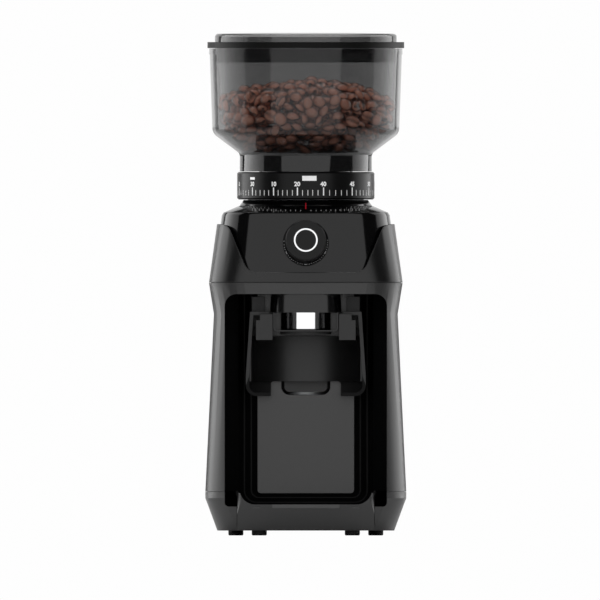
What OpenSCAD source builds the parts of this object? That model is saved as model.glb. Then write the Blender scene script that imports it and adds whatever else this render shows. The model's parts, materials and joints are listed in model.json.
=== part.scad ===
/* [Feet and base] */
// Height of a rubber foot below the base
foot_h = 3.7; // [2:0.1:8]
// Radius of a rubber foot
foot_r = 5.7; // [4:0.1:7]
// Distance of the front feet from the centre line
foot_front_x = 35.2; // [28:0.1:42]
// Distance of the rear feet from the centre line
foot_rear_x = 52.9; // [44:0.1:58]
// Height of the base pan
base_h = 29.5; // [27:0.1:36]
// Height over which the base tapers in towards the feet
base_taper_h = 24.7; // [18:0.1:26]
// Inward taper of the base at its lower edge
base_taper = 9.1; // [6:0.1:11]

/* [Casing] */
// Half width of the casing at the base seam
base_hw = 76; // [74:0.1:80]
// Distance from the centre to the front face at the base seam
base_front = 95; // [93:0.5:100]
// Distance from the centre to the back face at the base seam
base_back = 95; // [92:0.5:105]
// Height of the lower casing between its two seams
lower_h = 158.1; // [154:0.1:170]
// Height of the waist below the upper seam
waist_drop = 23.8; // [18:0.1:30]
// Half width of the casing at the waist
waist_hw = 69.5; // [68:0.1:72]
// Distance from the centre to the front face at the waist
waist_front = 84.5; // [84:0.1:87]
// Distance from the centre to the back face at the waist
waist_back = 88; // [85:0.5:91]
// Half width of the casing at the upper seam
seam_hw = 73.2; // [72:0.1:76]
// Distance from the centre to the front face at the upper seam
seam_front = 84; // [83:0.1:88]
// Distance from the centre to the back face at the upper seam
seam_back = 90; // [88:0.5:93]
// Wall thickness of the matt casing parts
wall = 2.4; // [2:0.1:3]
// Radius of the front corners of the casing
front_corner_r = 33; // [28:0.5:36]
// Radius of the rear corners of the casing
rear_corner_r = 26; // [18:0.5:32]
// Width of the visible joint between two casing parts
seam_gap = 0.3; // [0.1:0.05:0.6]
// Height of the tongue behind each visible joint
lap_h = 3; // [2:0.1:4]

/* [Shoulder cowl] */
// Height of the cowl's ears above the upper seam
ear_h = 44.2; // [38:0.1:48]
// Height of the cowl's front band below the control panel
cowl_band_h = 7.9; // [5:0.1:12]
// Half width of the front cut-out at its lower edge
cowl_cut_low = 47; // [42:0.1:48]
// Half width of the front cut-out at the top of the ears
cowl_cut_top = 60.8; // [57:0.1:62]
// Corner radius at the bottom of the front cut-out
cowl_cut_r = 10; // [4:0.1:12]
// Radius of the inner corner at the tip of each ear
ear_round = 8; // [1:0.1:10]

/* [Head] */
// Lean of the head's sides and control panel from the vertical
head_lean = 7.8; // [5:0.1:9]
// Clear gap between the head and the cowl
head_gap = 0.4; // [0.2:0.05:0.8]
// Radius of the head's front corners, in plan
head_corner_r = 35; // [28:0.5:36]
// Height of the head above the upper seam
head_h = 58.1; // [55:0.1:62]
// Height of the sloping deck
deck_h = 5.3; // [4:0.1:8]
// Inward run of the sloping deck
deck_run = 11.9; // [8:0.1:14]
// Height of the rounded edge under the deck
deck_edge_h = 2.2; // [1:0.1:3]
// Inward run of the rounded edge under the deck
deck_edge_run = 1.3; // [0.6:0.1:2]
// Wall thickness of the glossy head
head_wall = 2.2; // [1.8:0.1:3]

/* [Alcove] */
// Half width of the alcove at its mouth
alcove_hw = 61.3; // [59:0.1:63]
// Height of the alcove floor ledge
alcove_floor = 21.9; // [21:0.1:24]
// Height of the alcove ceiling
alcove_top = 182.6; // [180:0.1:184]
// Radius of the upper corners of the alcove mouth
alcove_corner_r = 9; // [6:0.1:14]
// Distance from the centre back to the alcove's rear wall
alcove_back = 0; // [-4:0.5:2]
// Half width of the trough inside the alcove
trough_hw = 51.1; // [49:0.1:53]
// Corner radius at the foot of the trough
trough_r = 12; // [8:0.1:14]
// Inward step of each rib beside the rear wall
rib_step = 5.2; // [3:0.1:5.3]
// Depth of each rib beside the rear wall
rib_depth = 4; // [2:0.1:5]
// Rise of each rib above the one in front of it at the foot of the rear wall
rib_rise = 3.6; // [2:0.1:3.8]
// Number of ribs beside the rear wall
rib_count = 3; // [1:1:3]
// Depth of the alcove's straight cheeks, from the front at the waist
cheek_depth = 16; // [14:0.5:20]
// Wall thickness of the glossy liner
liner_wall = 2; // [1.6:0.1:2.6]

/* [Hopper] */
// Outer radius of the hopper below its rim
hopper_r = 72.8; // [70:0.1:76]
// Draft of the hopper wall over its height
hopper_draft = 1.9; // [0:0.1:3]
// Outer radius of the bead at the hopper's rim
hopper_bead_r = 73.2; // [71:0.1:77]
// Height of the bead at the hopper's rim
hopper_bead_h = 4.6; // [2:0.1:6]
// Height of the straight wall of the hopper
hopper_wall_h = 56.8; // [40:0.1:75]
// Height of the cone under the straight wall
hopper_cone_h = 20; // [16:0.1:26]
// Blend radius between the hopper wall and its cone
hopper_bend_r = 9; // [4:0.1:12]
// Outer radius of the hopper neck
neck_r = 50; // [49:0.1:50.4]
// Height of the clear neck above the collar
neck_h = 11.7; // [8:0.1:16]
// Wall thickness of the clear hopper
hopper_wall = 2.2; // [1.6:0.1:3]
// Outer radius of the spigot that enters the burr carrier
spigot_r = 35.5; // [34:0.1:35.6]
// Number of outlets in the hopper floor and its shutter
outlet_count = 2; // [2:1:3]

/* [Lid] */
// Height of the lid above its seal
lid_h = 7; // [5:0.1:12]
// Outer radius of the lid
lid_r = 68.8; // [66:0.1:69]
// Wall thickness of the lid
lid_wall = 2; // [1.6:0.1:2.6]
// Depth of the lid's skirt inside the hopper
skirt_depth = 15.5; // [8:0.1:20]
// Height of the seal between lid and hopper
seal_h = 4.6; // [3:0.1:6]
// Outer radius of the seal
seal_r = 74.4; // [74:0.1:78]

/* [Grind collar] */
// Distance from the centre back to the burr axis, negative towards the front
burr_y = -10; // [-12:0.5:-9]
// Outer radius of the grind collar
collar_r = 51.9; // [51.2:0.1:53]
// Height of the grind collar
collar_h = 20.9; // [16:0.1:24]
// Height of the gap under the grind collar
collar_gap = 4.7; // [3.5:0.1:6]
// Wall thickness of the grind collar
collar_wall = 3; // [2:0.1:3.5]
// Radius of the neck under the grind collar
collar_neck_r = 47; // [46:0.1:48]
// Outward flare of that neck down to the deck
neck_flare = 3.2; // [2:0.1:3.3]
// Edge radius of the grind collar
collar_edge_r = 1.1; // [0.4:0.1:2]

/* [Burrs] */
// Inner radius of the grind chamber
chamber_r = 40.3; // [40.2:0.05:40.8]
// Wall thickness of the grind chamber
chamber_wall = 3.5; // [2.5:0.1:4]
// Outer radius of the sliding burr carrier
carrier_r = 40; // [39:0.1:40]
// Outer radius of the ring burr
ring_burr_r = 30; // [28:0.1:32]
// Height of the ring burr
ring_burr_h = 20; // [16:0.1:22]
// Radius of the cone burr at its foot
cone_r = 23; // [20:0.1:24]
// Radius of the cone burr at its top
cone_top_r = 11; // [9:0.1:13]
// Height of the cone burr
cone_h = 22; // [18:0.1:24]
// Gap between the two burrs at the set grind
burr_gap = 1.2; // [1:0.05:1.6]
// Number of crushing ridges on the cone burr
ridge_count = 5; // [3:1:7]
// Number of fine teeth round the foot of each burr
tooth_count = 36; // [18:1:48]
// Radius of the burr shaft
shaft_r = 5; // [4:0.1:6]

/* [Drive] */
// Gear module
gear_m = 1; // [0.9:0.05:1]
// Teeth on the motor pinion
pinion_teeth = 12; // [11:1:12]
// Teeth on the large wheel of the idler
idler_big_teeth = 48; // [46:1:48]
// Teeth on the small wheel of the idler
idler_small_teeth = 16; // [15:1:16]
// Teeth on the burr gear
burr_gear_teeth = 50; // [48:1:50]
// Face width of the upper gear pair
gear_w = 6; // [4:0.1:6.4]
// Radius of the motor can
motor_r = 30; // [24:0.5:32]
// Length of the motor can
motor_l = 110; // [80:1:120]
// Distance from the centre back to the motor axis
motor_y = 45; // [43:0.5:47]
// Radius of the motor shaft
motor_shaft_r = 2.5; // [2:0.1:3]
// Radius of the idler pin
idler_pin_r = 2.5; // [2:0.1:3]

/* [Chute] */
// Half width of the chute block
chute_hw = 26.4; // [25:0.1:28]
// Outward flare of the chute block at its lower end
chute_flare = 0.8; // [0:0.1:1.2]
// Length of the chute block that shows in the alcove
chute_drop = 14; // [10:0.1:16]
// Distance from the centre forward to the outlet axis
outlet_y = -50; // [-52:0.5:-49]
// Outer radius of the outlet tube
outlet_r = 18.8; // [17:0.1:20]
// Wall thickness of the outlet tube
outlet_wall = 1; // [0.6:0.1:1.4]
// Visible height of the outlet tube
outlet_h = 12.3; // [10:0.1:13]
// Half width of the collar that holds the outlet tube
holder_hw = 24.6; // [23:0.1:24.6]
// Wall thickness of the collar that holds the outlet tube
holder_wall = 1; // [0.8:0.1:1.4]
// Corner radius of the collar that holds the outlet tube
holder_r = 3; // [2:0.1:4]

/* [Cradle] */
// Half width of the cradle at its foot
cradle_hw = 45.4; // [43:0.1:46]
// Half width of the cradle at its shoulders
cradle_top_hw = 42.2; // [41:0.1:43]
// Height of the cradle's lower edge
cradle_z0 = 105.4; // [98:0.1:108]
// Height of the widest line of the cradle
cradle_wide_z = 121; // [118:0.1:125]
// Height of the cradle's shoulders
cradle_z1 = 169.3; // [168:0.1:171]
// Height of the top of the cradle's posts
post_top = 180.6; // [175:0.1:182]
// Half width of the outside of the posts
post_hw = 40.8; // [39:0.1:41]
// Width of a post
post_w = 9.9; // [7:0.1:11]
// Thickness of the cradle's rim
rim_w = 2.7; // [2:0.1:3.4]
// Depth of the cradle from its back plate to its rim
cradle_depth = 46; // [36:0.5:50]
// Corner radius at the foot of the cradle
cradle_r = 8; // [5:0.1:10]
// Half width of the notch for the start paddle
notch_hw = 26.5; // [23:0.1:30]
// Height of the notch above the cradle's lower edge
notch_h = 11.2; // [9:0.1:13]
// Height of the top of the concave apron
apron_top = 150.8; // [148:0.1:151.4]
// Radius of the concave apron
apron_r = 41.4; // [37:0.1:42]
// Height of the fork arms
arm_h = 12.1; // [8:0.1:13]
// Outer half width of the fork arms
arm_hw = 37.7; // [34:0.1:39]
// Length of the fork arms from the back plate
arm_l = 62; // [50:0.5:66]

/* [Start paddle] */
// Half width of the start paddle
paddle_hw = 16.3; // [12:0.1:20]
// Gap round the start paddle
paddle_gap = 2.1; // [1:0.1:2.6]
// Height of the paddle's lower edge
paddle_z0 = 108.6; // [106:0.1:112]
// Height of the paddle's pivot pin
paddle_pin_z = 136; // [130:0.1:144]
// Thickness of the paddle
paddle_t = 2; // [1.6:0.1:2.4]
// Radius of the paddle's pivot pin
paddle_pin_r = 1.2; // [1:0.1:1.4]
// Corner radius of the paddle
paddle_r = 4; // [2:0.1:6]

/* [Grinds tray] */
// Half width of the tray's front block
tray_hw = 51.8; // [50:0.1:52]
// Height of the tray's floor line
tray_top = 23.4; // [22.4:0.1:24]
// Height of the horns at the tray's corners
horn_top = 32.1; // [29:0.1:33]
// Thickness of the tray's front block
tray_block_t = 12.8; // [10:0.1:14]
// Half width of the tray's dish
dish_hw = 38.5; // [34:0.1:38.6]
// Depth of the tray's dish
dish_depth = 9; // [5:0.1:11]
// Wall thickness of the tray's dish
dish_wall = 2.2; // [1.6:0.1:3]

/* [Knob] */
// Height of the knob's centre above the upper seam
knob_rise = 29.9; // [26:0.1:34]
// Radius of the knob's scale ring
bezel_r = 17.4; // [16.5:0.1:20]
// Radius of the knob cap
knob_r = 15.4; // [13:0.1:15.8]
// Height of the knob above the panel
knob_h = 17; // [12:0.1:20]
// Mean radius of the light ring
ring_r = 8.4; // [6:0.1:10]
// Width of the light ring
ring_w = 1.15; // [0.8:0.05:2.5]
// Travel of the knob when it is pushed
knob_travel = 1.5; // [1:0.1:2]

/* [Hidden] */

$fn = 64;
eps = 0.01;
fit = 0.3;
run_fit = 0.08;
hull_fn = 32;
slab_t = 0.2;

base_z = foot_h;
base_top = base_z + base_h;
seam_z = base_top + lower_h;
waist_z = seam_z - waist_drop;
ear_top = seam_z + ear_h;
head_top = seam_z + head_h;
collar_z = head_top + collar_gap;
collar_top = collar_z + collar_h;
neck_rise = collar_gap - fit;
lean = tan(head_lean);
lap_skin = wall / 2;
lap_fit = 0.1;

// A level is [height, half width, front, back, front corner radius, rear corner radius].
function inset(l, d) = [l[0], l[1] - d, l[2] - d, l[3] - d, max(l[4] - d, 1), max(l[5] - d, 1)];
function at_height(l, z) = [z, l[1], l[2], l[3], l[4], l[5]];
function between(a, b, z) = a + (b - a) * (z - a[0]) / (b[0] - a[0]);

base_low = [base_z, base_hw - base_taper, base_front - base_taper, base_back - base_taper,
    front_corner_r, rear_corner_r];
base_mid = [base_z + base_taper_h, base_hw, base_front, base_back, front_corner_r, rear_corner_r];
base_up = at_height(base_mid, base_top);
waist = [waist_z, waist_hw, waist_front, waist_back, front_corner_r, rear_corner_r];
seam = [seam_z, seam_hw, seam_front, seam_back, front_corner_r, rear_corner_r];
ear = [ear_top, seam_hw - lean * ear_h, seam_front - lean * ear_h, seam_back - lean * ear_h,
    front_corner_r, rear_corner_r];
head_foot_z = seam_z + seam_gap;
head_inset = wall + head_gap;
head_edge_z = head_top - deck_h - deck_edge_h;
head_low = [head_foot_z, seam_hw - head_inset, seam_front - head_inset, seam_back - head_inset,
    head_corner_r, rear_corner_r - head_inset];
head_shift = lean * (head_edge_z - head_foot_z);
head_edge = [head_edge_z, head_low[1] - head_shift, head_low[2] - head_shift, head_low[3] - head_shift,
    head_low[4], head_low[5]];
deck_low = at_height(inset(head_edge, deck_edge_run), head_top - deck_h);
deck_up = at_height(inset(deck_low, deck_run), head_top);

module slab(l) {
    for (sx = [-1, 1]) {
        translate([sx * (l[1] - l[4]), -l[2] + l[4], l[0]]) cylinder(r = l[4], h = slab_t, $fn = hull_fn);
        translate([sx * (l[1] - l[5]), l[3] - l[5], l[0]]) cylinder(r = l[5], h = slab_t, $fn = hull_fn);
    }
}

module loft(lo, hi) {
    hull() {
        slab(lo);
        slab(at_height(hi, hi[0] - slab_t));
    }
}

module tube(r_out, r_in, h) {
    difference() {
        cylinder(r = r_out, h = h);
        translate([0, 0, -eps]) cylinder(r = r_in, h = h + 2 * eps);
    }
}

module box(x0, x1, y0, y1, z0, z1) {
    translate([x0, y0, z0]) cube([x1 - x0, y1 - y0, z1 - z0]);
}

// A ring that follows the casing between two levels, from one depth inside its skin to another.
module casing_ring(lo, hi, d_out, d_in) {
    difference() {
        loft(inset(lo, d_out), inset(hi, d_out));
        loft(at_height(inset(lo, d_in), lo[0] - 1), at_height(inset(hi, d_in), hi[0] + 1));
    }
}

// A flat shape drawn as seen from the front (x, z), carried from y0 back to y1.
module from_front(y0, y1) {
    translate([0, y1, 0]) rotate([90, 0, 0]) linear_extrude(y1 - y0) children();
}

// A rectangle with square upper corners and round lower ones.
module tub_outline(hw, z0, z1, r) {
    translate([-hw, z0 + r]) square([2 * hw, z1 - z0 - r]);
    translate([-hw + r, z0]) square([2 * (hw - r), r + eps]);
    for (sx = [-1, 1]) {
        translate([sx * (hw - r), z0 + r]) circle(r);
    }
}

// A rectangle with four round corners.
module plate_outline(hw, z0, z1, r) {
    translate([-hw, z0 + r]) square([2 * hw, z1 - z0 - 2 * r]);
    translate([-hw + r, z0]) square([2 * (hw - r), z1 - z0]);
    for (sx = [-1, 1]) {
        translate([sx * (hw - r), z0 + r]) circle(r);
        translate([sx * (hw - r), z1 - r]) circle(r);
    }
}

// A level slot with round ends.
module slot_outline(hw, z0, w) {
    translate([-hw + w / 2, z0]) square([2 * hw - w, w]);
    for (sx = [-1, 1]) {
        translate([sx * (hw - w / 2), z0 + w / 2]) circle(w / 2, $fn = 24);
    }
}

// Points round an arc, for outlines that are turned about an axis.
function arc(cx, cy, r, a0, a1, n = 8) = [for (i = [0:n]) let (a = a0 + (a1 - a0) * i / n)
    [cx + r * cos(a), cy + r * sin(a)]];

module screw(r, l) {
    cylinder(r = r, h = l);
    difference() {
        translate([0, 0, l]) cylinder(r1 = r * 2, r2 = r * 1.6, h = r);
        translate([0, 0, l + r * 0.5]) cylinder(r = r * 0.8, h = r, $fn = 6);
    }
}

// A wound spring on the z axis: the wire's section carried round a screw line.
module coil(r, wire, pitch, turns) {
    sides = 6;
    steps = 12;
    rows = steps * turns;
    points = [for (i = [0:rows]) for (j = [0:sides - 1]) let (out = r + wire / 2 * cos(j * 360 / sides))
        [out * cos(i * 360 / steps), out * sin(i * 360 / steps),
            wire / 2 * sin(j * 360 / sides) + pitch * i / steps]];
    skin = [for (i = [0:rows - 1]) for (j = [0:sides - 1]) for (half = [0, 1])
        let (a = i * sides + j, b = i * sides + (j + 1) % sides)
        half == 0 ? [a, a + sides, b] : [b, a + sides, b + sides]];
    ends = [[for (j = [0:sides - 1]) j], [for (j = [sides - 1:-1:0]) rows * sides + j]];
    polyhedron(points, concat(skin, ends));
}

// ---- feet and base ----

foot_front_y = -(base_low[2] - foot_r - 9);
foot_rear_y = base_low[3] - foot_r - 16;
foot_places = [
    [-foot_front_x, foot_front_y], [foot_front_x, foot_front_y],
    [-foot_rear_x, foot_rear_y], [foot_rear_x, foot_rear_y]
];
foot_socket = 1.4;
foot_screw_r = 1.5;
foot_screw_l = 6;
pan_floor = 3;

module foot_pads() {
    color("#1a1a1a") for (p = foot_places) translate([p[0], p[1], 0]) {
        difference() {
            union() {
                cylinder(r1 = foot_r - 0.6, r2 = foot_r, h = 0.8);
                translate([0, 0, 0.8]) cylinder(r = foot_r, h = foot_h - 0.8);
                translate([0, 0, foot_h - eps]) cylinder(r = foot_r - 1.2, h = foot_socket);
            }
            translate([0, 0, -eps]) cylinder(r = foot_screw_r * 2 + 0.3, h = foot_h - 1.4);
            cylinder(r = foot_screw_r + 0.2, h = foot_h + foot_socket + 1);
        }
    }
}

module foot_screws() {
    color("#9a9a98") for (p = foot_places) translate([p[0], p[1], foot_h + foot_screw_l - 1.5])
        rotate([180, 0, 0]) screw(foot_screw_r, foot_screw_l);
}

tray_back = -(alcove_back + liner_wall + 8);
tray_block_y = -base_front + tray_block_t;
dish_z0 = tray_top - dish_depth - dish_wall;

module tray_gap_outline() {
    tub_outline(tray_hw + seam_gap, base_z - 1, base_top + 5, 1);
}

// The block under the alcove stands this far inside the pan's outline.
block_inset = 12;

module base_pan() {
    color("#1d1d1f") difference() {
        union() {
            loft(base_low, base_mid);
            loft(at_height(base_mid, base_mid[0] - slab_t), at_height(base_up, base_top - seam_gap));
        }
        difference() {
            loft(at_height(inset(base_low, wall), base_z + pan_floor),
                at_height(inset(base_up, wall), base_top + 1));
            box(-base_hw, base_hw, -base_front, motor_y, base_z, alcove_floor);
        }
        difference() {
            loft(inset(at_height(base_up, base_top - lap_h - seam_gap), lap_skin),
                inset(at_height(base_up, base_top + 1), lap_skin));
            box(-base_hw + block_inset, base_hw - block_inset, -base_front + block_inset, motor_y,
                base_z, base_top + 2);
        }
        from_front(-base_front - 1, tray_block_y + seam_gap) tray_gap_outline();
        box(-dish_hw - seam_gap, dish_hw + seam_gap, -base_front, tray_back + seam_gap,
            dish_z0 - seam_gap, base_top + 1);
        from_front(-base_front - 1, alcove_back - 1)
            tub_outline(alcove_hw, alcove_floor, base_top + 5, 3);
        box(-base_hw + block_inset, base_hw - block_inset, alcove_back + liner_wall + fit, motor_y + 1,
            base_z + pan_floor, base_top);
        for (p = foot_places) translate([p[0], p[1], base_z - eps]) {
            cylinder(r = foot_r - 1, h = foot_socket + 0.2);
            cylinder(r = foot_screw_r, h = foot_screw_l);
        }
    }
}

// A flat shape drawn as seen from the side (y, z), centred on x = 0.
module from_side(w) {
    translate([-w / 2, 0, 0]) rotate([90, 0, 90]) linear_extrude(w) children();
}

tray_corner_r = 10;
tray_lift = 0.4;
horn_w = 1.6;
dish_r = 5;
finger_hw = 25.6;
finger_h = 2.6;
slit_x = 37.7;
slit_w = 6;
slit_h = 1.2;
slit_drop = 1.8;
slit_depth = 1.4;

// The tray's front face leans back under its widest line.
function tray_face(z) = between(base_low, base_mid, z)[2];

module tray_block() {
    intersection() {
        from_side(2 * tray_hw) polygon([[-base_low[2], base_z], [-base_front, base_mid[0]],
            [-base_front, horn_top], [tray_block_y, horn_top], [tray_block_y, base_z + tray_lift]]);
        translate([0, 0, base_z + tray_lift]) linear_extrude(horn_top)
            plate_outline(tray_hw + 1, -base_front - 1, tray_block_y + 2 * tray_corner_r, tray_corner_r);
    }
}

module grinds_tray() {
    color("#1b1b1d") difference() {
        union() {
            tray_block();
            translate([0, 0, dish_z0]) linear_extrude(tray_top + 2 - dish_z0)
                plate_outline(dish_hw, tray_block_y - 6, tray_back, dish_r);
        }
        from_front(-base_front - 1, tray_back + 1)
            tub_outline(tray_hw - horn_w, tray_top, horn_top + 5, trough_r);
        from_front(-base_front - 1, -tray_face(tray_top) + 1)
            translate([-finger_hw, tray_top - finger_h]) square([2 * finger_hw, finger_h + 1]);
        for (sx = [-1, 1]) from_front(-base_front - 1, -tray_face(tray_top - slit_drop) + slit_depth)
                translate([sx * slit_x, 0]) slot_outline(slit_w / 2, tray_top - slit_drop - slit_h,
                    slit_h);
        translate([0, 0, tray_top - dish_depth]) linear_extrude(dish_depth + 1)
            plate_outline(dish_hw - dish_wall, tray_block_y - 4, tray_back - dish_wall, dish_r - 1);
    }
}

// ---- casing ----

module alcove_mouth() {
    translate([-alcove_hw, alcove_floor - 5])
        square([2 * alcove_hw, alcove_top - alcove_floor + 5 - alcove_corner_r]);
    translate([-alcove_hw + alcove_corner_r, alcove_floor])
        square([2 * (alcove_hw - alcove_corner_r), alcove_top - alcove_floor]);
    for (sx = [-1, 1]) translate([sx * (alcove_hw - alcove_corner_r), alcove_top - alcove_corner_r])
        circle(alcove_corner_r);
}

rear_hw = 44;
rear_z0 = base_top + 12;
rear_z1 = waist_z - 6;
rear_r = 6;

module lower_shell() {
    color("#1e1e20") difference() {
        union() {
            loft(base_up, at_height(waist, waist_z + slab_t));
            loft(waist, at_height(seam, seam_z - seam_gap));
            casing_ring(at_height(base_up, base_top - lap_h), at_height(base_up, base_top + slab_t),
                lap_skin + lap_fit, wall);
        }
        casing_ring(between(waist, seam, seam_z - lap_h - seam_gap), between(waist, seam, seam_z + 1),
            lap_skin, wall + 1);
        loft(at_height(inset(base_up, wall), base_top - 1),
            at_height(inset(waist, wall), waist_z + slab_t));
        loft(inset(waist, wall), at_height(inset(seam, wall), seam_z + 1));
        from_front(-base_front - 5, -waist_front + 24) alcove_mouth();
        from_front(waist_back - 20, base_back + 5) plate_outline(rear_hw, rear_z0, rear_z1, rear_r);
    }
}

vent_count = 9;
vent_pitch = 7.5;
vent_w = 3;
vent_hw = 26;

module rear_face(depth_out, depth_in) {
    intersection() {
        difference() {
            loft(at_height(inset(base_up, depth_out), base_top),
                at_height(inset(waist, depth_out), waist_z));
            loft(at_height(inset(base_up, depth_in), base_top - 1),
                at_height(inset(waist, depth_in), waist_z + 1));
        }
        from_front(waist_back - 20, base_back + 5) children();
    }
}

gland_z = rear_z0 + 14;
gland_r = 6;
cover_screw_r = 1.5;
cover_screw_x = rear_hw - 7;
cover_screw_z = [rear_z0 + 7, rear_z1 - 7];

module rear_cover() {
    color("#202022") difference() {
        rear_face(0, wall) plate_outline(rear_hw - seam_gap, rear_z0 + seam_gap, rear_z1 - seam_gap,
            rear_r);
        for (i = [0:vent_count - 1]) from_front(waist_back - 20, base_back + 5)
                slot_outline(vent_hw, rear_z1 - 24 - i * vent_pitch, vent_w);
        translate([0, rear_y(gland_z), gland_z]) rotate([90 + rear_tilt, 0, 0])
            cylinder(r = gland_r, h = 30, center = true);
        for (sx = [-1, 1]) for (z = cover_screw_z)
            translate([sx * cover_screw_x, base_back + 5, z]) rotate([90, 0, 0])
                cylinder(r = cover_screw_r, h = 30);
    }
}

rear_tilt = atan2(base_back - waist_back, waist_z - base_top);
function rear_y(z) = between(base_up, waist, z)[3];

module cover_screws() {
    color("#8d8d8b") for (sx = [-1, 1]) for (z = cover_screw_z)
        translate([sx * cover_screw_x, rear_y(z) - 7.6, z]) rotate([-90, 0, 0]) screw(cover_screw_r, 8);
}

module cord_gland() {
    color("#151515") translate([0, rear_y(gland_z), gland_z]) rotate([90 + rear_tilt, 0, 0]) {
        difference() {
            union() {
                translate([0, 0, -1.2]) cylinder(r1 = gland_r + 0.8, r2 = gland_r + 1.6, h = 1);
                translate([0, 0, -0.2 - eps]) cylinder(r = gland_r - 0.1, h = 5);
                translate([0, 0, 2.8]) cylinder(r = gland_r + 1.6, h = 2);
            }
            translate([0, 0, -5]) cylinder(r = 3.6, h = 9);
        }
    }
}

// Front cut-out of the cowl: narrow and round at the foot, flaring out to the ears.
cowl_cut_z = seam_z + cowl_band_h;

module cowl_cut() {
    offset(r = -ear_round) offset(r = ear_round) {
        hull() for (sx = [-1, 1]) {
            translate([sx * (cowl_cut_low - cowl_cut_r), cowl_cut_z + cowl_cut_r])
                circle(cowl_cut_r, $fn = hull_fn);
            translate([sx * (cowl_cut_top - 1), ear_top + 5]) square(2, center = true);
        }
        translate([-seam_hw, ear_top]) square([2 * seam_hw, 12]);
    }
}

module shoulder_cowl() {
    color("#1e1e20") difference() {
        union() {
            loft(seam, ear);
            casing_ring(between(waist, seam, seam_z - lap_h), between(waist, seam, seam_z + slab_t),
                lap_skin + lap_fit, wall);
        }
        loft(at_height(inset(seam, wall), seam_z - 1), at_height(inset(ear, wall), ear_top + 1));
        from_front(-seam_front - 5, burr_y) cowl_cut();
    }
}

// ---- head ----

knob_z = seam_z + knob_rise;
knob_y = -between(head_low, head_edge, knob_z)[2];

// Carries its children so that their +z axis stands square on the control panel.
module on_panel() {
    translate([0, knob_y, knob_z]) rotate([90 - head_lean, 0, 0]) children();
}

bezel_seat_r = bezel_r - 2;
knob_wall = 1.6;
knob_shaft_r = 3;
encoder_z = -head_wall - 3;
knob_wire = 0.8;
board_hw = 34;
board_t = 1.6;
board_z = encoder_z - 5 - board_t;
board_screw_r = 1.2;
board_screw_x = board_hw - 3;
post_r = 3.2;

module upper_housing() {
    color("#0c0c0e") difference() {
        union() {
            loft(head_low, at_height(head_edge, head_edge_z + slab_t));
            loft(head_edge, at_height(deck_low, deck_low[0] + slab_t));
            loft(deck_low, deck_up);
            translate([0, burr_y, head_top - eps])
                cylinder(r1 = collar_neck_r + neck_flare, r2 = collar_neck_r, h = neck_rise + eps);
        }
        loft(at_height(inset(head_low, head_wall), head_foot_z - 1), inset(head_edge, head_wall));
        loft(at_height(inset(head_edge, head_wall), head_edge_z - slab_t),
            at_height(inset(deck_up, head_wall), head_top - head_wall));
        translate([0, burr_y, seam_z]) cylinder(r = chamber_r + chamber_wall + fit, h = head_h + 20);
        on_panel() translate([0, 0, -head_wall * 3]) cylinder(r = bezel_seat_r - 3, h = head_wall * 6);
    }
    color("#0c0c0e") on_panel() for (sx = [-1, 1]) translate([sx * board_screw_x, 0, board_z + board_t])
        tube(post_r, board_screw_r, -head_wall + 0.3 - board_z - board_t);
}

mark_w = 0.8;
mark_t = 0.2;
mark_up = 2;
mark_down = 2.5;
neck_foot_y = burr_y - collar_neck_r - neck_flare - 0.02;
deck_front_y = -deck_up[2];

// The line that the scale is read against. It runs down the neck and on over the deck.
module setting_mark() {
    neck_run = neck_flare * mark_up / neck_rise;
    slope_run = deck_run * mark_down / (deck_h - slab_t);
    line = [[neck_foot_y + neck_run, head_top + mark_up], [neck_foot_y, head_top + eps],
        [deck_front_y, head_top + eps], [deck_front_y - slope_run, head_top + eps - mark_down]];
    color("#c8102e") from_side(mark_w)
        polygon(concat(line, [for (i = [3:-1:0]) line[i] + [-mark_t / 2, mark_t]]));
}

// ---- alcove ----

rear_wall_y = alcove_back;
splay_y = -waist_front + cheek_depth;
splay_l = 15;
liner_gap = 0.1;
liner_top = alcove_top + liner_wall;
trough_front = splay_y + splay_l;

// Outline of the trough behind its k-th rib, and the depth at which that rib stands.
module trough(k) {
    corner = trough_r - k * (trough_r - rear_wall_r) / rib_count;
    tub_outline(trough_hw - rib_step * k, alcove_floor + rib_rise * k, alcove_top, corner);
}
function rib_y(k) = rear_wall_y - (rib_count - k) * rib_depth;
rib_land = 0.2;
rear_wall_r = 2;

// Plan of the splayed cheeks, grown outwards by d.
module splay_plan(d) {
    for (sx = [-1, 1]) polygon([[0, -base_front], [sx * (alcove_hw + d), -base_front],
        [sx * (alcove_hw + d), splay_y],
        [sx * (trough_hw + d), trough_front], [sx * (trough_hw + d), trough_front + 4],
            [0, trough_front + 4]]);
}

// Room inside the matt casing that the liner may fill.
module liner_room() {
    inner = wall + liner_gap;
    loft(at_height(inset(base_low, inner), base_z), at_height(inset(base_up, inner), base_top));
    loft(at_height(inset(base_up, inner), base_top - slab_t),
        at_height(inset(waist, inner), waist_z + slab_t));
    loft(inset(waist, inner), at_height(inset(seam, inner), seam_z));
}

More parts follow.
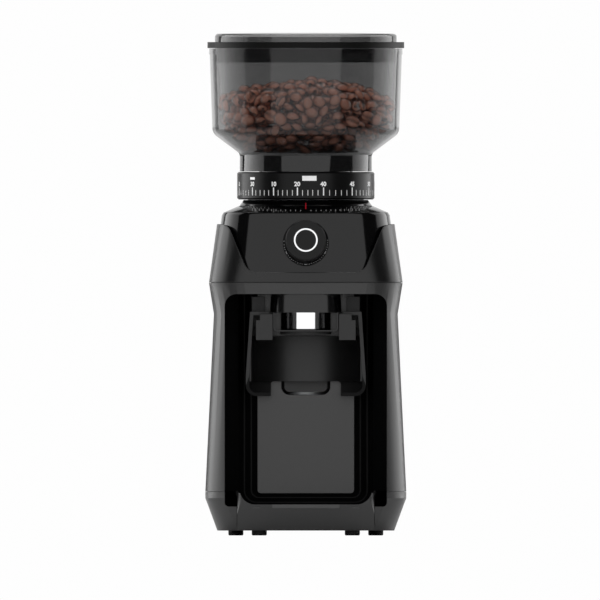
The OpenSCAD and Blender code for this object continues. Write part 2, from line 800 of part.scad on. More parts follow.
module alcove_liner() {
    color("#0b0b0d") difference() {
        intersection() {
            union() {
                from_front(trough_front, rear_wall_y + liner_wall)
                    tub_outline(trough_hw + liner_wall, alcove_floor, liner_top, trough_r);
                translate([0, 0, alcove_floor + trough_r])
                    linear_extrude(liner_top - alcove_floor - trough_r)
                    splay_plan(liner_wall / 2);
            }
            liner_room();
        }
        translate([0, 0, alcove_floor - 1]) linear_extrude(alcove_top - alcove_floor + 1) splay_plan(0);
        from_front(trough_front - 1, rib_y(0)) trough(0);
        for (k = [0:rib_count - 1]) hull() {
            from_front(rib_y(k) - 1, rib_y(k)) trough(k);
            from_front(rib_y(k + 1) - eps, rib_y(k + 1)) trough(k + 1 - rib_land);
        }
        box(-dish_hw - 0.6, dish_hw + 0.6, -base_front, tray_back + 0.6, 0, tray_top + 1);
        from_front(rear_wall_y - 1, rear_wall_y + liner_wall + 1)
            tub_outline(paddle_hw + paddle_gap, paddle_z0 - paddle_gap, paddle_pin_z + 4,
                paddle_r + paddle_gap);
        box(-chute_hw - fit, chute_hw + fit, outlet_y - chute_hw - fit, outlet_y + chute_hw + fit,
            alcove_top - 1, alcove_top + 5);
        for (sx = [-1, 1]) translate([sx * peg_x, rear_wall_y - 1, peg_z]) rotate([-90, 0, 0])
            cylinder(r = peg_r - 0.8, h = 10);
    }
    color("#0b0b0d") paddle_bracket();
}

// Lugs for the paddle's pin and a bridge for its switch, moulded on the back of the liner.
module paddle_bracket() {
    difference() {
        union() {
            for (sx = [-1, 1]) translate([sx * (lug_x + lug_w / 2) - lug_w / 2, 0, 0])
                box(0, lug_w, rear_wall_y + liner_wall - eps, paddle_pin_y + 2.6, paddle_pin_z - 3,
                    paddle_pin_z + 3);
            for (sx = [-1, 1]) translate([sx * (lug_x + lug_w / 2) - lug_w / 2, 0, 0])
                box(0, lug_w, rear_wall_y + liner_wall - eps, switch_y + switch_d, switch_z0,
                    switch_z0 + switch_h);
            box(-lug_x - lug_w, lug_x + lug_w, switch_y + switch_d, switch_y + switch_d + liner_wall,
                switch_z0, switch_z0 + switch_h);
        }
        translate([-lug_x - 2 * lug_w, paddle_pin_y, paddle_pin_z]) rotate([0, 90, 0])
            cylinder(r = paddle_pin_r, h = 2 * (lug_x + 2 * lug_w));
    }
}

// ---- chute ----

chute_z0 = alcove_top - chute_drop;
chute_z1 = liner_top + 4;
chute_r = 16;
chute_front = outlet_y - chute_hw;
spout_hw = 17.8;
spout_y0 = outlet_y - 14.5;
spout_y1 = outlet_y + 11;
spout_wall = 3;
spout_top = alcove_top + 17.2;

module spout_bore(z0, z1) {
    box(-spout_hw + spout_wall, spout_hw - spout_wall, spout_y0 + spout_wall, spout_y1 - spout_wall, z0,
        z1);
}

module chute_block() {
    up = [chute_z1, chute_hw - 0.6, -chute_front, outlet_y + chute_hw, chute_r, chute_r];
    low = [chute_z0, chute_hw + chute_flare, -chute_front, outlet_y + chute_hw, chute_r, chute_r];
    color("#0d0d0f") difference() {
        union() {
            loft(low, up);
            box(-spout_hw, spout_hw, spout_y0, spout_y1, chute_z1 - 1, spout_top);
        }
        translate([0, outlet_y, chute_z0 - 1])
            cylinder(r = outlet_r - outlet_wall, h = chute_z1 - chute_z0 - 2);
        translate([0, outlet_y, chute_z0 - 1]) cylinder(r = outlet_r + 0.05, h = 5);
        spout_bore(chute_z1 - 4, spout_top + 1);
    }
}

holder_z0 = chute_z0 - outlet_h - 2;
tube_z0 = chute_z0 - outlet_h;

module outlet_holder() {
    color("#0d0d0f") difference() {
        from_front(outlet_y - outlet_r - 3, outlet_y + outlet_r + 3)
            tub_outline(holder_hw, holder_z0, chute_z0, holder_r);
        from_front(outlet_y - outlet_r - 4, outlet_y + outlet_r + 2)
            tub_outline(holder_hw - holder_wall, holder_z0 + holder_wall, chute_z0 + 1,
                holder_r - holder_wall);
        translate([0, outlet_y, holder_z0 - 1]) cylinder(r = outlet_r - outlet_wall, h = 10);
    }
    color("#0d0d0f") translate([0, outlet_y, holder_z0 + holder_wall - eps])
        tube(outlet_r, outlet_r - outlet_wall, tube_z0 - holder_z0 - holder_wall);
}

module outlet_tube() {
    color("#d8d8da") translate([0, outlet_y, tube_z0])
        tube(outlet_r, outlet_r - outlet_wall, outlet_h + 4);
}

module outlet_seal() {
    color("#151515") translate([0, outlet_y, apron_top + 0.2]) difference() {
        cylinder(r = outlet_r + 0.6, h = holder_z0 - apron_top - 0.2);
        translate([0, 0, -1]) cylinder(r = outlet_r - outlet_wall, h = 10);
        for (a = [0, 90]) rotate(a) box(-outlet_r + 3.5, outlet_r - 3.5, -outlet_r - 5, outlet_r + 5,
            -1, 1.2);
    }
}

flap_t = 0.8;

module chute_flap() {
    color("#26262a") translate([0, outlet_y, chute_z0 + 6]) {
        tube(outlet_r - outlet_wall - 0.05, outlet_r - outlet_wall - 1.4, 4);
        for (a = [0:5]) rotate(a * 60) difference() {
            intersection() {
                cylinder(r = outlet_r - outlet_wall - 1, h = flap_t);
                rotate(2) box(0, outlet_r, 0, outlet_r, -1, 1);
                rotate(-32) box(0, outlet_r, 0, outlet_r, -1, 1);
            }
            cylinder(r = 3, h = 5, center = true);
        }
    }
}

// ---- cradle ----

cradle_back = rear_wall_y - rib_count * rib_depth - fit;
cradle_plate_t = 4;
cradle_front = cradle_back - cradle_depth;
peg_x = 14;
peg_z = 144;
peg_r = 3.4;
arm_in = holder_hw + 0.5;

module cradle_outline(d) {
    polygon([[-cradle_hw + d, cradle_z0 + cradle_r], [-cradle_hw + d, cradle_wide_z],
        [-cradle_top_hw + d, cradle_z1 - d], [cradle_top_hw - d, cradle_z1 - d],
        [cradle_hw - d, cradle_wide_z], [cradle_hw - d, cradle_z0 + cradle_r]]);
    translate([-cradle_hw + cradle_r, cradle_z0 + d])
        square([2 * (cradle_hw - cradle_r), cradle_wide_z - cradle_z0]);
    for (sx = [-1, 1]) translate([sx * (cradle_hw - cradle_r), cradle_z0 + cradle_r])
        circle(cradle_r - d);
}

module cradle() {
    color("#1c1c1e") difference() {
        union() {
            from_front(cradle_front, cradle_back) difference() {
                cradle_outline(0);
                cradle_outline(rim_w);
            }
            from_front(cradle_back - cradle_plate_t, cradle_back) cradle_outline(0);
            intersection() {
                from_front(cradle_front, cradle_back) difference() {
                    cradle_outline(0);
                    translate([-cradle_hw, apron_top]) square([2 * cradle_hw, 60]);
                }
                translate([0, 0, cradle_z0 + notch_h]) difference() {
                    linear_extrude(apron_top - cradle_z0 - notch_h)
                        translate([-cradle_hw, cradle_front + 4])
                        square([2 * cradle_hw, cradle_depth - 4]);
                    translate([0, cradle_back - cradle_plate_t - apron_r, -1])
                        cylinder(r = apron_r, h = 60);
                    translate([-apron_r, cradle_front - 10, -1])
                        cube([2 * apron_r, cradle_depth - apron_r + 6, 60]);
                }
            }
            for (sx = [-1, 1]) {
                from_front(cradle_back - 14, cradle_back)
                    translate([sx * (post_hw - post_w / 2) - post_w / 2, cradle_z1 - 12])
                    square([post_w, post_top - cradle_z1 + 12]);
                from_front(cradle_back - arm_l, cradle_back) {
                    translate([sx * (arm_in + arm_hw) / 2 - (arm_hw - arm_in) / 2, apron_top - 3])
                        square([arm_hw - arm_in, arm_h + 3]);
                    translate([sx * (arm_in + arm_hw) / 2 - (arm_hw - arm_in) / 2 + (sx > 0 ? 0 : 3),
                        apron_top + arm_h - eps])
                        square([arm_hw - arm_in - 3, 4.5]);
                }
            }
            for (sx = [-1, 1]) translate([sx * peg_x, cradle_back - cradle_plate_t, peg_z])
                rotate([-90, 0, 0])
                cylinder(r = peg_r + 4, h = cradle_plate_t + rib_count * rib_depth - 0.4);
        }
        from_front(cradle_front - 100, rear_wall_y) {
            translate([-arm_in, apron_top]) square([2 * arm_in, 60]);
            translate([-chute_hw - chute_flare - 0.5, chute_z0 - 0.6])
                square([2 * (chute_hw + chute_flare + 0.5), 60]);
        }
        from_front(cradle_front - 1, rear_wall_y)
            plate_outline(notch_hw, cradle_z0 - 10, cradle_z0 + notch_h, 2.4);
        for (sx = [-1, 1]) translate([sx * peg_x, cradle_back - cradle_plate_t - 1, peg_z])
            rotate([-90, 0, 0])
            cylinder(r = peg_r + run_fit, h = 30);
    }
}

module cradle_pegs() {
    color("#8d8d8b") for (sx = [-1, 1]) translate([sx * peg_x, cradle_back - cradle_plate_t + 1, peg_z])
        rotate([-90, 0, 0]) {
            cylinder(r1 = peg_r - 0.8, r2 = peg_r, h = 1);
            translate([0, 0, 1 - eps]) cylinder(r = peg_r,
                h = rear_wall_y - cradle_back + cradle_plate_t - 2);
            cylinder(r = peg_r - 0.8,
                h = rear_wall_y - cradle_back + cradle_plate_t - 1 + liner_wall + 3);
        }
}

// ---- start paddle ----

paddle_pin_y = rear_wall_y + paddle_t + 3;
paddle_boss_r = paddle_pin_r + 1.6;

module start_paddle() {
    color("#0d0d0f") difference() {
        union() {
            from_front(rear_wall_y, rear_wall_y + paddle_t)
                tub_outline(paddle_hw, paddle_z0, paddle_pin_z + 2, paddle_r);
            for (sx = [-1, 1]) translate([sx * (paddle_hw - 5) - 2, 0, 0]) {
                translate([0, paddle_pin_y, paddle_pin_z]) rotate([0, 90, 0])
                    cylinder(r = paddle_boss_r, h = 4);
                box(0, 4, rear_wall_y + 1, paddle_pin_y, paddle_pin_z - paddle_boss_r,
                    paddle_pin_z + 1.9);
            }
            box(-3, 3, rear_wall_y + 1, rear_wall_y + paddle_t + 2, paddle_z0 + 6, paddle_z0 + 9);
        }
        translate([-30, paddle_pin_y, paddle_pin_z]) rotate([0, 90, 0])
            cylinder(r = paddle_pin_r + run_fit, h = 60);
    }
}

lug_w = 3;
lug_x = paddle_hw + paddle_gap + 1;

module paddle_pin() {
    color("#b0b0ae") translate([-lug_x - lug_w, paddle_pin_y, paddle_pin_z]) rotate([0, 90, 0])
        cylinder(r = paddle_pin_r, h = 2 * (lug_x + lug_w));
}

spring_wire = 0.7;
spring_pitch = 0.9;
spring_turns = 6;

module paddle_spring() {
    color("#b0b0ae") translate([-spring_turns * spring_pitch / 2, paddle_pin_y, paddle_pin_z])
        rotate([0, 90, 0])
        coil(paddle_pin_r + 0.5 + spring_wire / 2, spring_wire, spring_pitch, spring_turns);
}

switch_y = rear_wall_y + paddle_t + 4.6;
switch_hw = 10;
switch_d = 5;
switch_z0 = paddle_z0 + 2;
switch_h = 10;
plunger_r = 1.2;

module start_switch() {
    color("#2b2b30") {
        box(-switch_hw, switch_hw, switch_y, switch_y + switch_d, switch_z0, switch_z0 + switch_h);
        translate([0, switch_y + eps, switch_z0 + 5.5]) rotate([90, 0, 0])
            cylinder(r = plunger_r, h = 0.4);
    }
}

// ---- knob and electronics ----

module knob_bezel() {
    color("#101012") on_panel() difference() {
        union() {
            translate([0, 0, fit / 3]) cylinder(r1 = bezel_r, r2 = bezel_r - 1.4, h = 1.6);
            translate([0, 0, -head_wall]) cylinder(r = bezel_seat_r - 3 - 0.05, h = head_wall + 1);
        }
        translate([0, 0, -head_wall - 1]) cylinder(r = knob_r - 6, h = head_wall + 5);
    }
}

module knob_cap() {
    color("#131315") on_panel() difference() {
        union() {
            translate([0, 0, knob_travel + 2]) cylinder(r = knob_r, h = knob_h - knob_travel - 2.8);
            translate([0, 0, knob_h - 0.8 - eps]) cylinder(r1 = knob_r, r2 = knob_r - 0.8, h = 0.8);
        }
        translate([0, 0, knob_travel + 1])
            cylinder(r = knob_r - knob_wall, h = knob_h - knob_travel - 1 - knob_wall - 2);
        translate([0, 0, knob_h - 1.2]) tube(ring_r + ring_w / 2 + 0.02, ring_r - ring_w / 2 - 0.02, 2);
    }
    color("#131315") on_panel() translate([0, 0, knob_travel + 2])
        tube(knob_shaft_r + 1.6, knob_shaft_r + run_fit, knob_h - knob_travel - knob_wall - 4);
}

module knob_light_ring() {
    color("#ffffff") on_panel() translate([0, 0, knob_h - 1.2])
        tube(ring_r + ring_w / 2, ring_r - ring_w / 2, 1.25);
}

module knob_shaft() {
    color("#a8a8a6") on_panel() difference() {
        translate([0, 0, encoder_z + 2.3])
            cylinder(r = knob_shaft_r, h = knob_h - knob_travel - knob_wall - 2.4 - encoder_z - 2.3);
        translate([knob_shaft_r - 0.8, -5, 1]) cube([5, 10, 20]);
    }
}

module knob_spring() {
    color("#b0b0ae") on_panel() translate([0, 0, encoder_z + 2.8])
        coil(knob_shaft_r + 0.5 + knob_wire / 2, knob_wire, 1.1, 3);
}

module knob_encoder() {
    color("#2f4f3a") on_panel() translate([0, 0, encoder_z - 5]) difference() {
        union() {
            translate([-7, -7, 0]) cube([14, 14, 5]);
            translate([0, 0, 5 - eps]) cylinder(r = 4.6, h = 2);
        }
        translate([0, 0, 1]) cylinder(r = knob_shaft_r + run_fit, h = 10);
    }
}

module control_board() {
    color("#1f5136") on_panel() translate([0, 0, board_z]) difference() {
        union() {
            translate([-board_hw, -14, 0]) cube([2 * board_hw, 28, board_t]);
            translate([-board_hw + 8, -10, board_t - eps]) cube([12, 16, 3]);
            translate([board_hw - 18, -10, board_t - eps]) cube([10, 10, 5]);
            translate([board_hw - 12, 8, board_t - eps]) cylinder(r = 3, h = 6);
        }
        for (sx = [-1, 1]) translate([sx * board_screw_x, 0, -1]) cylinder(r = board_screw_r, h = 5);
    }
}

module board_screws() {
    color("#9a9a98") on_panel() for (sx = [-1, 1]) translate([sx * board_screw_x, 0, board_z + 6])
        rotate([180, 0, 0]) screw(board_screw_r - 0.02, 6);
}

// ---- grinding unit ----

chamber_z0 = alcove_top + 17.4;
chamber_floor = 6;
chamber_top = head_top - 2;
impeller_z = chamber_z0 + chamber_floor + 0.6;
impeller_h = 7;
burr_z = impeller_z + impeller_h + 1;
carrier_z0 = burr_z + 1.4;
carrier_top = collar_top - 12;
carrier_bore_z = burr_z + 2 + ring_burr_h + 13;
key_w = 5;
bearing_r = 11;
bearing_h = 6;
plate_z0 = alcove_top + liner_wall + 0.4;
plate_t = 3;

lug_angles = [12, 135, 225, 315];
lug_ring_r = chamber_r + chamber_wall + 3.4;
lug_h = 8;

module on_burr_axis(z) {
    translate([0, burr_y, z]) children();
}

module grind_chamber() {
    color("#8b8c8e") on_burr_axis(chamber_z0) difference() {
        union() {
            cylinder(r = chamber_r + chamber_wall, h = chamber_top - chamber_z0);
            for (a = lug_angles) rotate(a) translate([lug_ring_r - 1, 0, 0]) cylinder(r = 5, h = lug_h);
            translate([-spout_hw, spout_y0 - burr_y, 0])
                cube([2 * spout_hw, 20, chamber_floor + impeller_h + 3]);
        }
        translate([0, 0, chamber_floor]) cylinder(r = chamber_r, h = 100);
        translate([0, 0, -1]) cylinder(r = bearing_r + 0.02, h = bearing_h);
        translate([0, 0, -1]) cylinder(r = shaft_r + 1.5, h = 20);
        translate([-spout_hw + spout_wall, spout_y0 + spout_wall - burr_y, chamber_floor])
            cube([2 * (spout_hw - spout_wall), 30, impeller_h]);
        translate([-spout_hw + spout_wall, spout_y0 + spout_wall - burr_y, -1])
            cube([2 * (spout_hw - spout_wall), 10, chamber_floor + 2]);
        for (a = lug_angles) rotate(a) translate([lug_ring_r, 0, -1]) cylinder(r = 1.5, h = lug_h + 2);
        translate([idler_x, idler_y - burr_y, -1]) cylinder(r = idler_pin_r, h = 3);
        for (a = [90, 210, 330]) rotate(a)
            translate([chamber_r - 1, -key_w / 2 - 0.2, chamber_top - chamber_z0 - 12])
            cube([2.4, key_w + 0.4, 20]);
    }
}

module ring_burr() {
    color("#a9aaac") on_burr_axis(0) difference() {
        translate([0, 0, burr_z + 2]) cylinder(r = ring_burr_r, h = ring_burr_h);
        translate([0, 0, burr_z + 1.9])
            cylinder(r1 = cone_r + burr_gap, r2 = cone_top_r + burr_gap + 6, h = ring_burr_h + 0.2);
        for (i = [0:ridge_count * 2 - 1]) rotate(i * 180 / ridge_count + 8)
            translate([cone_top_r + burr_gap + 7, 0, burr_z + 12])
            rotate([0, -22, 0]) cylinder(r = 3.2, h = ring_burr_h);
        for (i = [0:tooth_count - 1]) rotate(i * 360 / tooth_count)
            translate([cone_r + burr_gap - 0.3, 0, burr_z + 1.5])
            rotate([0, -18, 12]) translate([-0.5, -0.5, 0]) cube([1.3, 1, 5]);
        for (a = [30, 150, 270]) rotate(a) translate([ring_burr_r - 3.2, 0, burr_z])
            cylinder(r = 1.5, h = 40);
    }
}

module ring_burr_screws() {
    color("#6f6f6d") on_burr_axis(0) for (a = [30, 150, 270]) rotate(a)
        translate([ring_burr_r - 3.2, 0, burr_z + 2 + ring_burr_h + 4]) rotate([180, 0, 0])
            translate([0, 0, -1.2])
            cylinder(r = 1.45, h = 12);
}

module cone_burr() {
    color("#b4b5b7") on_burr_axis(burr_z) difference() {
        union() {
            cylinder(r = cone_r, h = 3.6);
            translate([0, 0, 3.6 - eps]) cylinder(r1 = cone_r - 1.2, r2 = cone_top_r - 2.4,
                h = cone_h - 3.6);
            for (i = [0:ridge_count - 1]) rotate(i * 360 / ridge_count) for (k = [0:5])
                rotate(k * 11) translate([0, 0, 3 + k * (cone_h - 4) / 6])
                    translate([(cone_r - 3) * (1 - k / 6) + (cone_top_r - 4) * k / 6, 0, 0])
                        cylinder(r1 = 2.6, r2 = 2.2, h = (cone_h - 4) / 6 + 0.6);
        }
        for (i = [0:tooth_count - 1]) rotate(i * 360 / tooth_count) translate([cone_r + 0.1, 0, -1])
            rotate([0, 0, 20]) translate([-0.8, -0.55, 0]) cube([2, 1.1, 6]);
        translate([0, 0, -1]) cylinder(r = shaft_r, h = cone_h + 2);
        translate([0, 0, cone_h]) difference() {
            cylinder(r = cone_r, h = 30);
            translate([0, 0, -1]) cylinder(r = 1, h = 1);
        }
    }
}

module burr_nut() {
    color("#6f6f6d") on_burr_axis(burr_z + cone_h + 0.05) difference() {
        cylinder(r = shaft_r + 3, h = 4.5, $fn = 6);
        translate([0, 0, -1]) cylinder(r = shaft_r - 1, h = 10);
    }
}

module burr_shaft() {
    color("#8b8c8e") on_burr_axis(0) union() {
        translate([0, 0, plate_z0 + 0.4]) cylinder(r = shaft_r - 1, h = small_z - plate_z0 - 0.4);
        translate([0, 0, small_z - eps]) cylinder(r = shaft_r, h = burr_z + cone_h - small_z + eps);
        translate([0, 0, burr_z + cone_h - eps]) cylinder(r = shaft_r - 1, h = 6);
    }
}

blade_count = 4;

module impeller() {
    color("#d7d2c4") on_burr_axis(impeller_z) difference() {
        union() {
            cylinder(r = chamber_r - 1, h = 1.6);
            cylinder(r = shaft_r + 4, h = impeller_h + 0.9);
            for (i = [0:blade_count - 1]) rotate(i * 360 / blade_count)
                translate([shaft_r, -1.2, 0]) cube([chamber_r - 1.4 - shaft_r, 2.4, impeller_h - 0.4]);
        }
        translate([0, 0, -1]) cylinder(r = shaft_r, h = 20);
    }
}

module bearing(r_in, r_out, h) {
    difference() {
        cylinder(r = r_out, h = h);
        translate([0, 0, -1]) cylinder(r = r_in, h = h + 2);
        translate([0, 0, h - 0.6]) tube(r_out - 1.6, r_in + 1.4, 1);
        translate([0, 0, -0.4]) tube(r_out - 1.6, r_in + 1.4, 1);
    }
}

module shaft_bearings() {
    color("#9fa0a2") on_burr_axis(0) {
        translate([0, 0, chamber_z0 - 1]) bearing(shaft_r + run_fit, bearing_r, bearing_h - 0.1);
        translate([0, 0, plate_z0 + plate_t - 2.4]) bearing(shaft_r - 1 + run_fit, bearing_r - 3, 3.2);
    }
}

module burr_carrier() {
    color("#202024") on_burr_axis(0) difference() {
        union() {
            translate([0, 0, carrier_z0]) cylinder(r = carrier_r, h = carrier_top - carrier_z0);
            for (a = [90, 210, 330]) rotate(a) translate([carrier_r - 2, -key_w / 2, chamber_top - 10])
                cube([3, key_w, 7]);
        }
        translate([0, 0, carrier_z0 - 1])
            cylinder(r = ring_burr_r + 0.05, h = burr_z + 2 + ring_burr_h - carrier_z0 + 1.05);
        translate([0, 0, burr_z + ring_burr_h]) cylinder(r = cone_top_r + burr_gap + 7, h = 20);
        translate([0, 0, carrier_bore_z - 10])
            cylinder(r1 = cone_top_r + burr_gap + 7, r2 = spigot_r + fit, h = 10);
        translate([0, 0, carrier_bore_z - eps]) cylinder(r = spigot_r + fit, h = 40);
        for (a = [30, 150, 270]) rotate(a) translate([ring_burr_r - 3.2, 0, burr_z])
            cylinder(r = 1.5, h = 60);
    }
}

sleeve_r = carrier_r + fit;
web_z = collar_top - 8;
index_count = 80;

module grind_collar() {
    color("#161618") on_burr_axis(0) difference() {
        union() {
            translate([0, 0, collar_z + collar_edge_r])
                cylinder(r = collar_r, h = collar_h - 2 * collar_edge_r);
            translate([0, 0, collar_z]) cylinder(r1 = collar_r - collar_edge_r, r2 = collar_r,
                h = collar_edge_r + eps);
            translate([0, 0, collar_top - collar_edge_r - eps])
                cylinder(r1 = collar_r, r2 = collar_r - collar_edge_r, h = collar_edge_r + eps);
        }
        translate([0, 0, collar_z - 1])
            tube(collar_r - collar_wall, sleeve_r + 2.2, web_z - collar_z + 1);
        translate([0, 0, collar_z - 1]) cylinder(r = sleeve_r, h = collar_h + 2);
        translate([0, 0, web_z + 3]) cylinder(r = neck_r - hopper_wall - 1.2, h = 20);
        for (i = [0:index_count - 1]) rotate(i * 360 / index_count)
            translate([collar_r - collar_wall, 0, collar_z - 1])
            cylinder(r = 0.7, h = 4, $fn = 8);
    }
}

module collar_retainer() {
    color("#8b8c8e") on_burr_axis(head_top + collar_gap + 0.3) difference() {
        union() {
            tube(collar_r - collar_wall - 0.5, sleeve_r + 2.6, 2);
            translate([0, 0, -4.2]) tube(chamber_r + chamber_wall, sleeve_r + 2.6, 4.3);
        }
        for (a = [0:60:300]) rotate(a) translate([45.6, 0, -1]) cylinder(r = 1.3, h = 5);
    }
}

// ---- drive ----

function gear_r(teeth) = teeth * gear_m / 2;
burr_motor = motor_y - burr_y;
burr_idler = gear_r(idler_small_teeth) + gear_r(burr_gear_teeth) + 0.1;
idler_motor = gear_r(idler_big_teeth) + gear_r(pinion_teeth) + 0.1;
idler_dy = (burr_idler * burr_idler - idler_motor * idler_motor + burr_motor * burr_motor) / (2
    * burr_motor);
idler_x = sqrt(burr_idler * burr_idler - idler_dy * idler_dy);
idler_y = burr_y + idler_dy;
big_w = 2.6;
big_z = plate_z0 + plate_t + 0.6;
small_z = big_z + big_w + 0.6;

// Flat outline of a straight-toothed wheel with one tooth centred on +x.
module wheel_outline(teeth) {
    r = gear_r(teeth);
    pitch = 360 / teeth;
    circle(r - 1.15 * gear_m);
    for (i = [0:teeth - 1]) rotate(i * pitch)
        polygon([[r - 1.3 * gear_m, -0.98 * gear_m], [r - 0.55 * gear_m, -0.86 * gear_m],
            [r, -0.66 * gear_m],
            [r + 0.45 * gear_m, -0.45 * gear_m], [r + 0.75 * gear_m, -0.28 * gear_m],
            [r + 0.75 * gear_m, 0.28 * gear_m], [r + 0.45 * gear_m, 0.45 * gear_m], [r, 0.66 * gear_m],
            [r - 0.55 * gear_m, 0.86 * gear_m], [r - 1.3 * gear_m, 0.98 * gear_m]]);
}

// Direction from one axis to the next, and the turn that puts a gap opposite a tooth there.
burr_to_idler = atan2(idler_dy, idler_x);
idler_to_motor = atan2(motor_y - idler_y, -idler_x);
idler_turn = burr_to_idler + 180 + 180 / idler_small_teeth;
idler_big_turn = idler_to_motor;
pinion_turn = idler_to_motor + 180 + 180 / pinion_teeth;

module burr_gear() {
    color("#cfcabb") on_burr_axis(small_z) difference() {
        union() {
            rotate(burr_to_idler) linear_extrude(gear_w) wheel_outline(burr_gear_teeth);
            cylinder(r = shaft_r + 5, h = gear_w + 0.9);
        }
        translate([0, 0, -1]) cylinder(r = shaft_r, h = gear_w + 4);
        translate([0, 0, gear_w - 1.6]) tube(gear_r(burr_gear_teeth) - 4, shaft_r + 5, 3);
        for (a = [0:60:300]) rotate(a) translate([15, 0, -1]) cylinder(r = 3, h = gear_w + 4);
    }
}

module idler_gear() {
    color("#cfcabb") translate([idler_x, idler_y, 0]) difference() {
        union() {
            translate([0, 0, big_z]) rotate(idler_big_turn)
                linear_extrude(big_w) wheel_outline(idler_big_teeth);
            translate([0, 0, big_z + big_w - eps]) rotate(idler_turn)
                linear_extrude(small_z + gear_w - big_z - big_w)
                wheel_outline(idler_small_teeth);
        }
        cylinder(r = idler_pin_r + run_fit, h = 300);
        translate([0, 0, big_z - 1]) tube(gear_r(idler_big_teeth) - 4, gear_r(idler_small_teeth) + 2,
            1.8);
    }
}

module idler_pin() {
    color("#9fa0a2") translate([idler_x, idler_y, plate_z0 + 0.5])
        cylinder(r = idler_pin_r, h = chamber_z0 + 2 - plate_z0 - 0.7);
}

motor_top = plate_z0 - 0.05;
motor_z0 = motor_top - motor_l;

module motor_pinion() {
    color("#a9aaac") translate([0, motor_y, big_z - 0.4]) difference() {
        rotate(pinion_turn) linear_extrude(big_w + 0.8) wheel_outline(pinion_teeth);
        translate([0, 0, -1]) cylinder(r = motor_shaft_r, h = 20);
    }
}

module motor_shaft() {
    color("#8b8c8e") translate([0, motor_y, 0]) {
        translate([0, 0, motor_z0 + 2]) cylinder(r = motor_shaft_r, h = big_z + big_w + 1 - motor_z0 - 2);
        translate([0, 0, motor_z0 + 24]) difference() {
            cylinder(r = motor_r * 0.56, h = motor_l * 0.55);
            for (a = [0:30:330]) rotate(a) translate([motor_r * 0.4, -0.9, -1])
                cube([motor_r, 1.8, motor_l]);
        }
        translate([0, 0, motor_z0 + 10]) cylinder(r = motor_r * 0.34, h = 10);
    }
}

module motor_can() {
    color("#77787a") translate([0, motor_y, motor_z0 + 6]) difference() {
        cylinder(r = motor_r, h = motor_l - 6);
        translate([0, 0, -1]) cylinder(r = motor_r - 2, h = motor_l - 7);
        cylinder(r = motor_shaft_r + run_fit, h = motor_l + 5);
        for (a = [0:60:300]) rotate(a) translate([motor_r, 0, 14]) rotate([0, 90, 0])
            cylinder(r = 4, h = 10, center = true);
        for (a = [45, 225]) rotate(a) translate([motor_r * 0.6, 0, motor_l - 14])
            cylinder(r = 1.6, h = 20);
    }
}

module motor_cap() {
    color("#2a2a2c") translate([0, motor_y, motor_z0]) difference() {
        union() {
            cylinder(r = motor_r, h = 6);
            translate([0, 0, 5]) cylinder(r = motor_r - 2.05, h = 4);
        }
        translate([0, 0, 3]) cylinder(r = motor_r - 5, h = 20);
        translate([0, 0, 1.9]) cylinder(r = motor_shaft_r + run_fit, h = 10);
        for (a = [0:90:270]) rotate(a + 45) translate([motor_r * 0.62, 0, -1]) cylinder(r = 3, h = 10);
    }
    color("#2a2a2c") for (a = [0, 180])
        translate([a == 0 ? motor_r - 6 : -motor_r - 4, motor_y - 5, base_z + pan_floor])
        cube([10, 10, motor_z0 - base_z - pan_floor + 3]);
}

module gear_plate() {
    color("#8b8c8e") difference() {
        union() {
            hull() {
                on_burr_axis(plate_z0) cylinder(r = chamber_r + chamber_wall, h = plate_t, $fn = 48);
                translate([0, motor_y, plate_z0]) cylinder(r = motor_r + 2, h = plate_t, $fn = 48);
            }
            for (a = lug_angles) on_burr_axis(plate_z0) rotate(a) translate([lug_ring_r - 1, 0, 0])
                cylinder(r = 5, h = chamber_z0 - plate_z0);
        }
        on_burr_axis(plate_z0 + plate_t - 2.4) cylinder(r = bearing_r - 3 + 0.02, h = 10);
        on_burr_axis(plate_z0 - 1) cylinder(r = shaft_r + 0.5, h = 10);
        translate([idler_x, idler_y, plate_z0 - 1]) cylinder(r = idler_pin_r, h = 10);
        translate([0, motor_y, plate_z0 - 1]) cylinder(r = 8, h = 10);
        translate([0, outlet_y, plate_z0 - 1])
            box(-chute_hw - fit, chute_hw + fit, -chute_hw - fit, chute_hw + fit, 0, 30);
        for (a = lug_angles) on_burr_axis(plate_z0 - 1) rotate(a) translate([lug_ring_r, 0, 0])
            cylinder(r = 1.5, h = 40);
        for (a = [45, 225]) translate([0, motor_y, plate_z0 - 1]) rotate(a)
            translate([motor_r * 0.6, 0, 0]) cylinder(r = 1.7, h = 10);
    }
}

module gear_plate_screws() {
    color("#6f6f6d") {
        for (a = lug_angles) on_burr_axis(chamber_z0 + lug_h - 14) rotate(a)
            translate([lug_ring_r, 0, 0]) screw(1.45, 14);
        for (a = [45, 225]) translate([0, motor_y, plate_z0 + plate_t - 6]) rotate(a)
            translate([motor_r * 0.6, 0, 0])
            screw(1.55, 6);
    }
}

// ---- hopper ----

hopper_z0 = collar_top + fit;
cone_z0 = hopper_z0 + neck_h;
wall_z0 = cone_z0 + hopper_cone_h;
hopper_top = wall_z0 + hopper_wall_h + hopper_bead_h;
wall_low_r = hopper_r - hopper_draft;
floor_z = cone_z0 - 1;
floor_t = 2.4;
spigot_z0 = carrier_bore_z + 1.6;

// Outside of the hopper: neck, small flare, cone, round shoulder, wall and rim bead, at a set inset.
function hopper_side(d) = concat( [[neck_r - d, hopper_z0 + (d > 0 ? -5 : 0)]],
    arc(neck_r + 4, cone_z0, 4 + d, 180, 136, 4),
    arc(wall_low_r - hopper_bend_r, wall_z0 + 2, hopper_bend_r - d, -44, 0, 6),
    [[hopper_r - d, hopper_top - hopper_bead_h]]
);

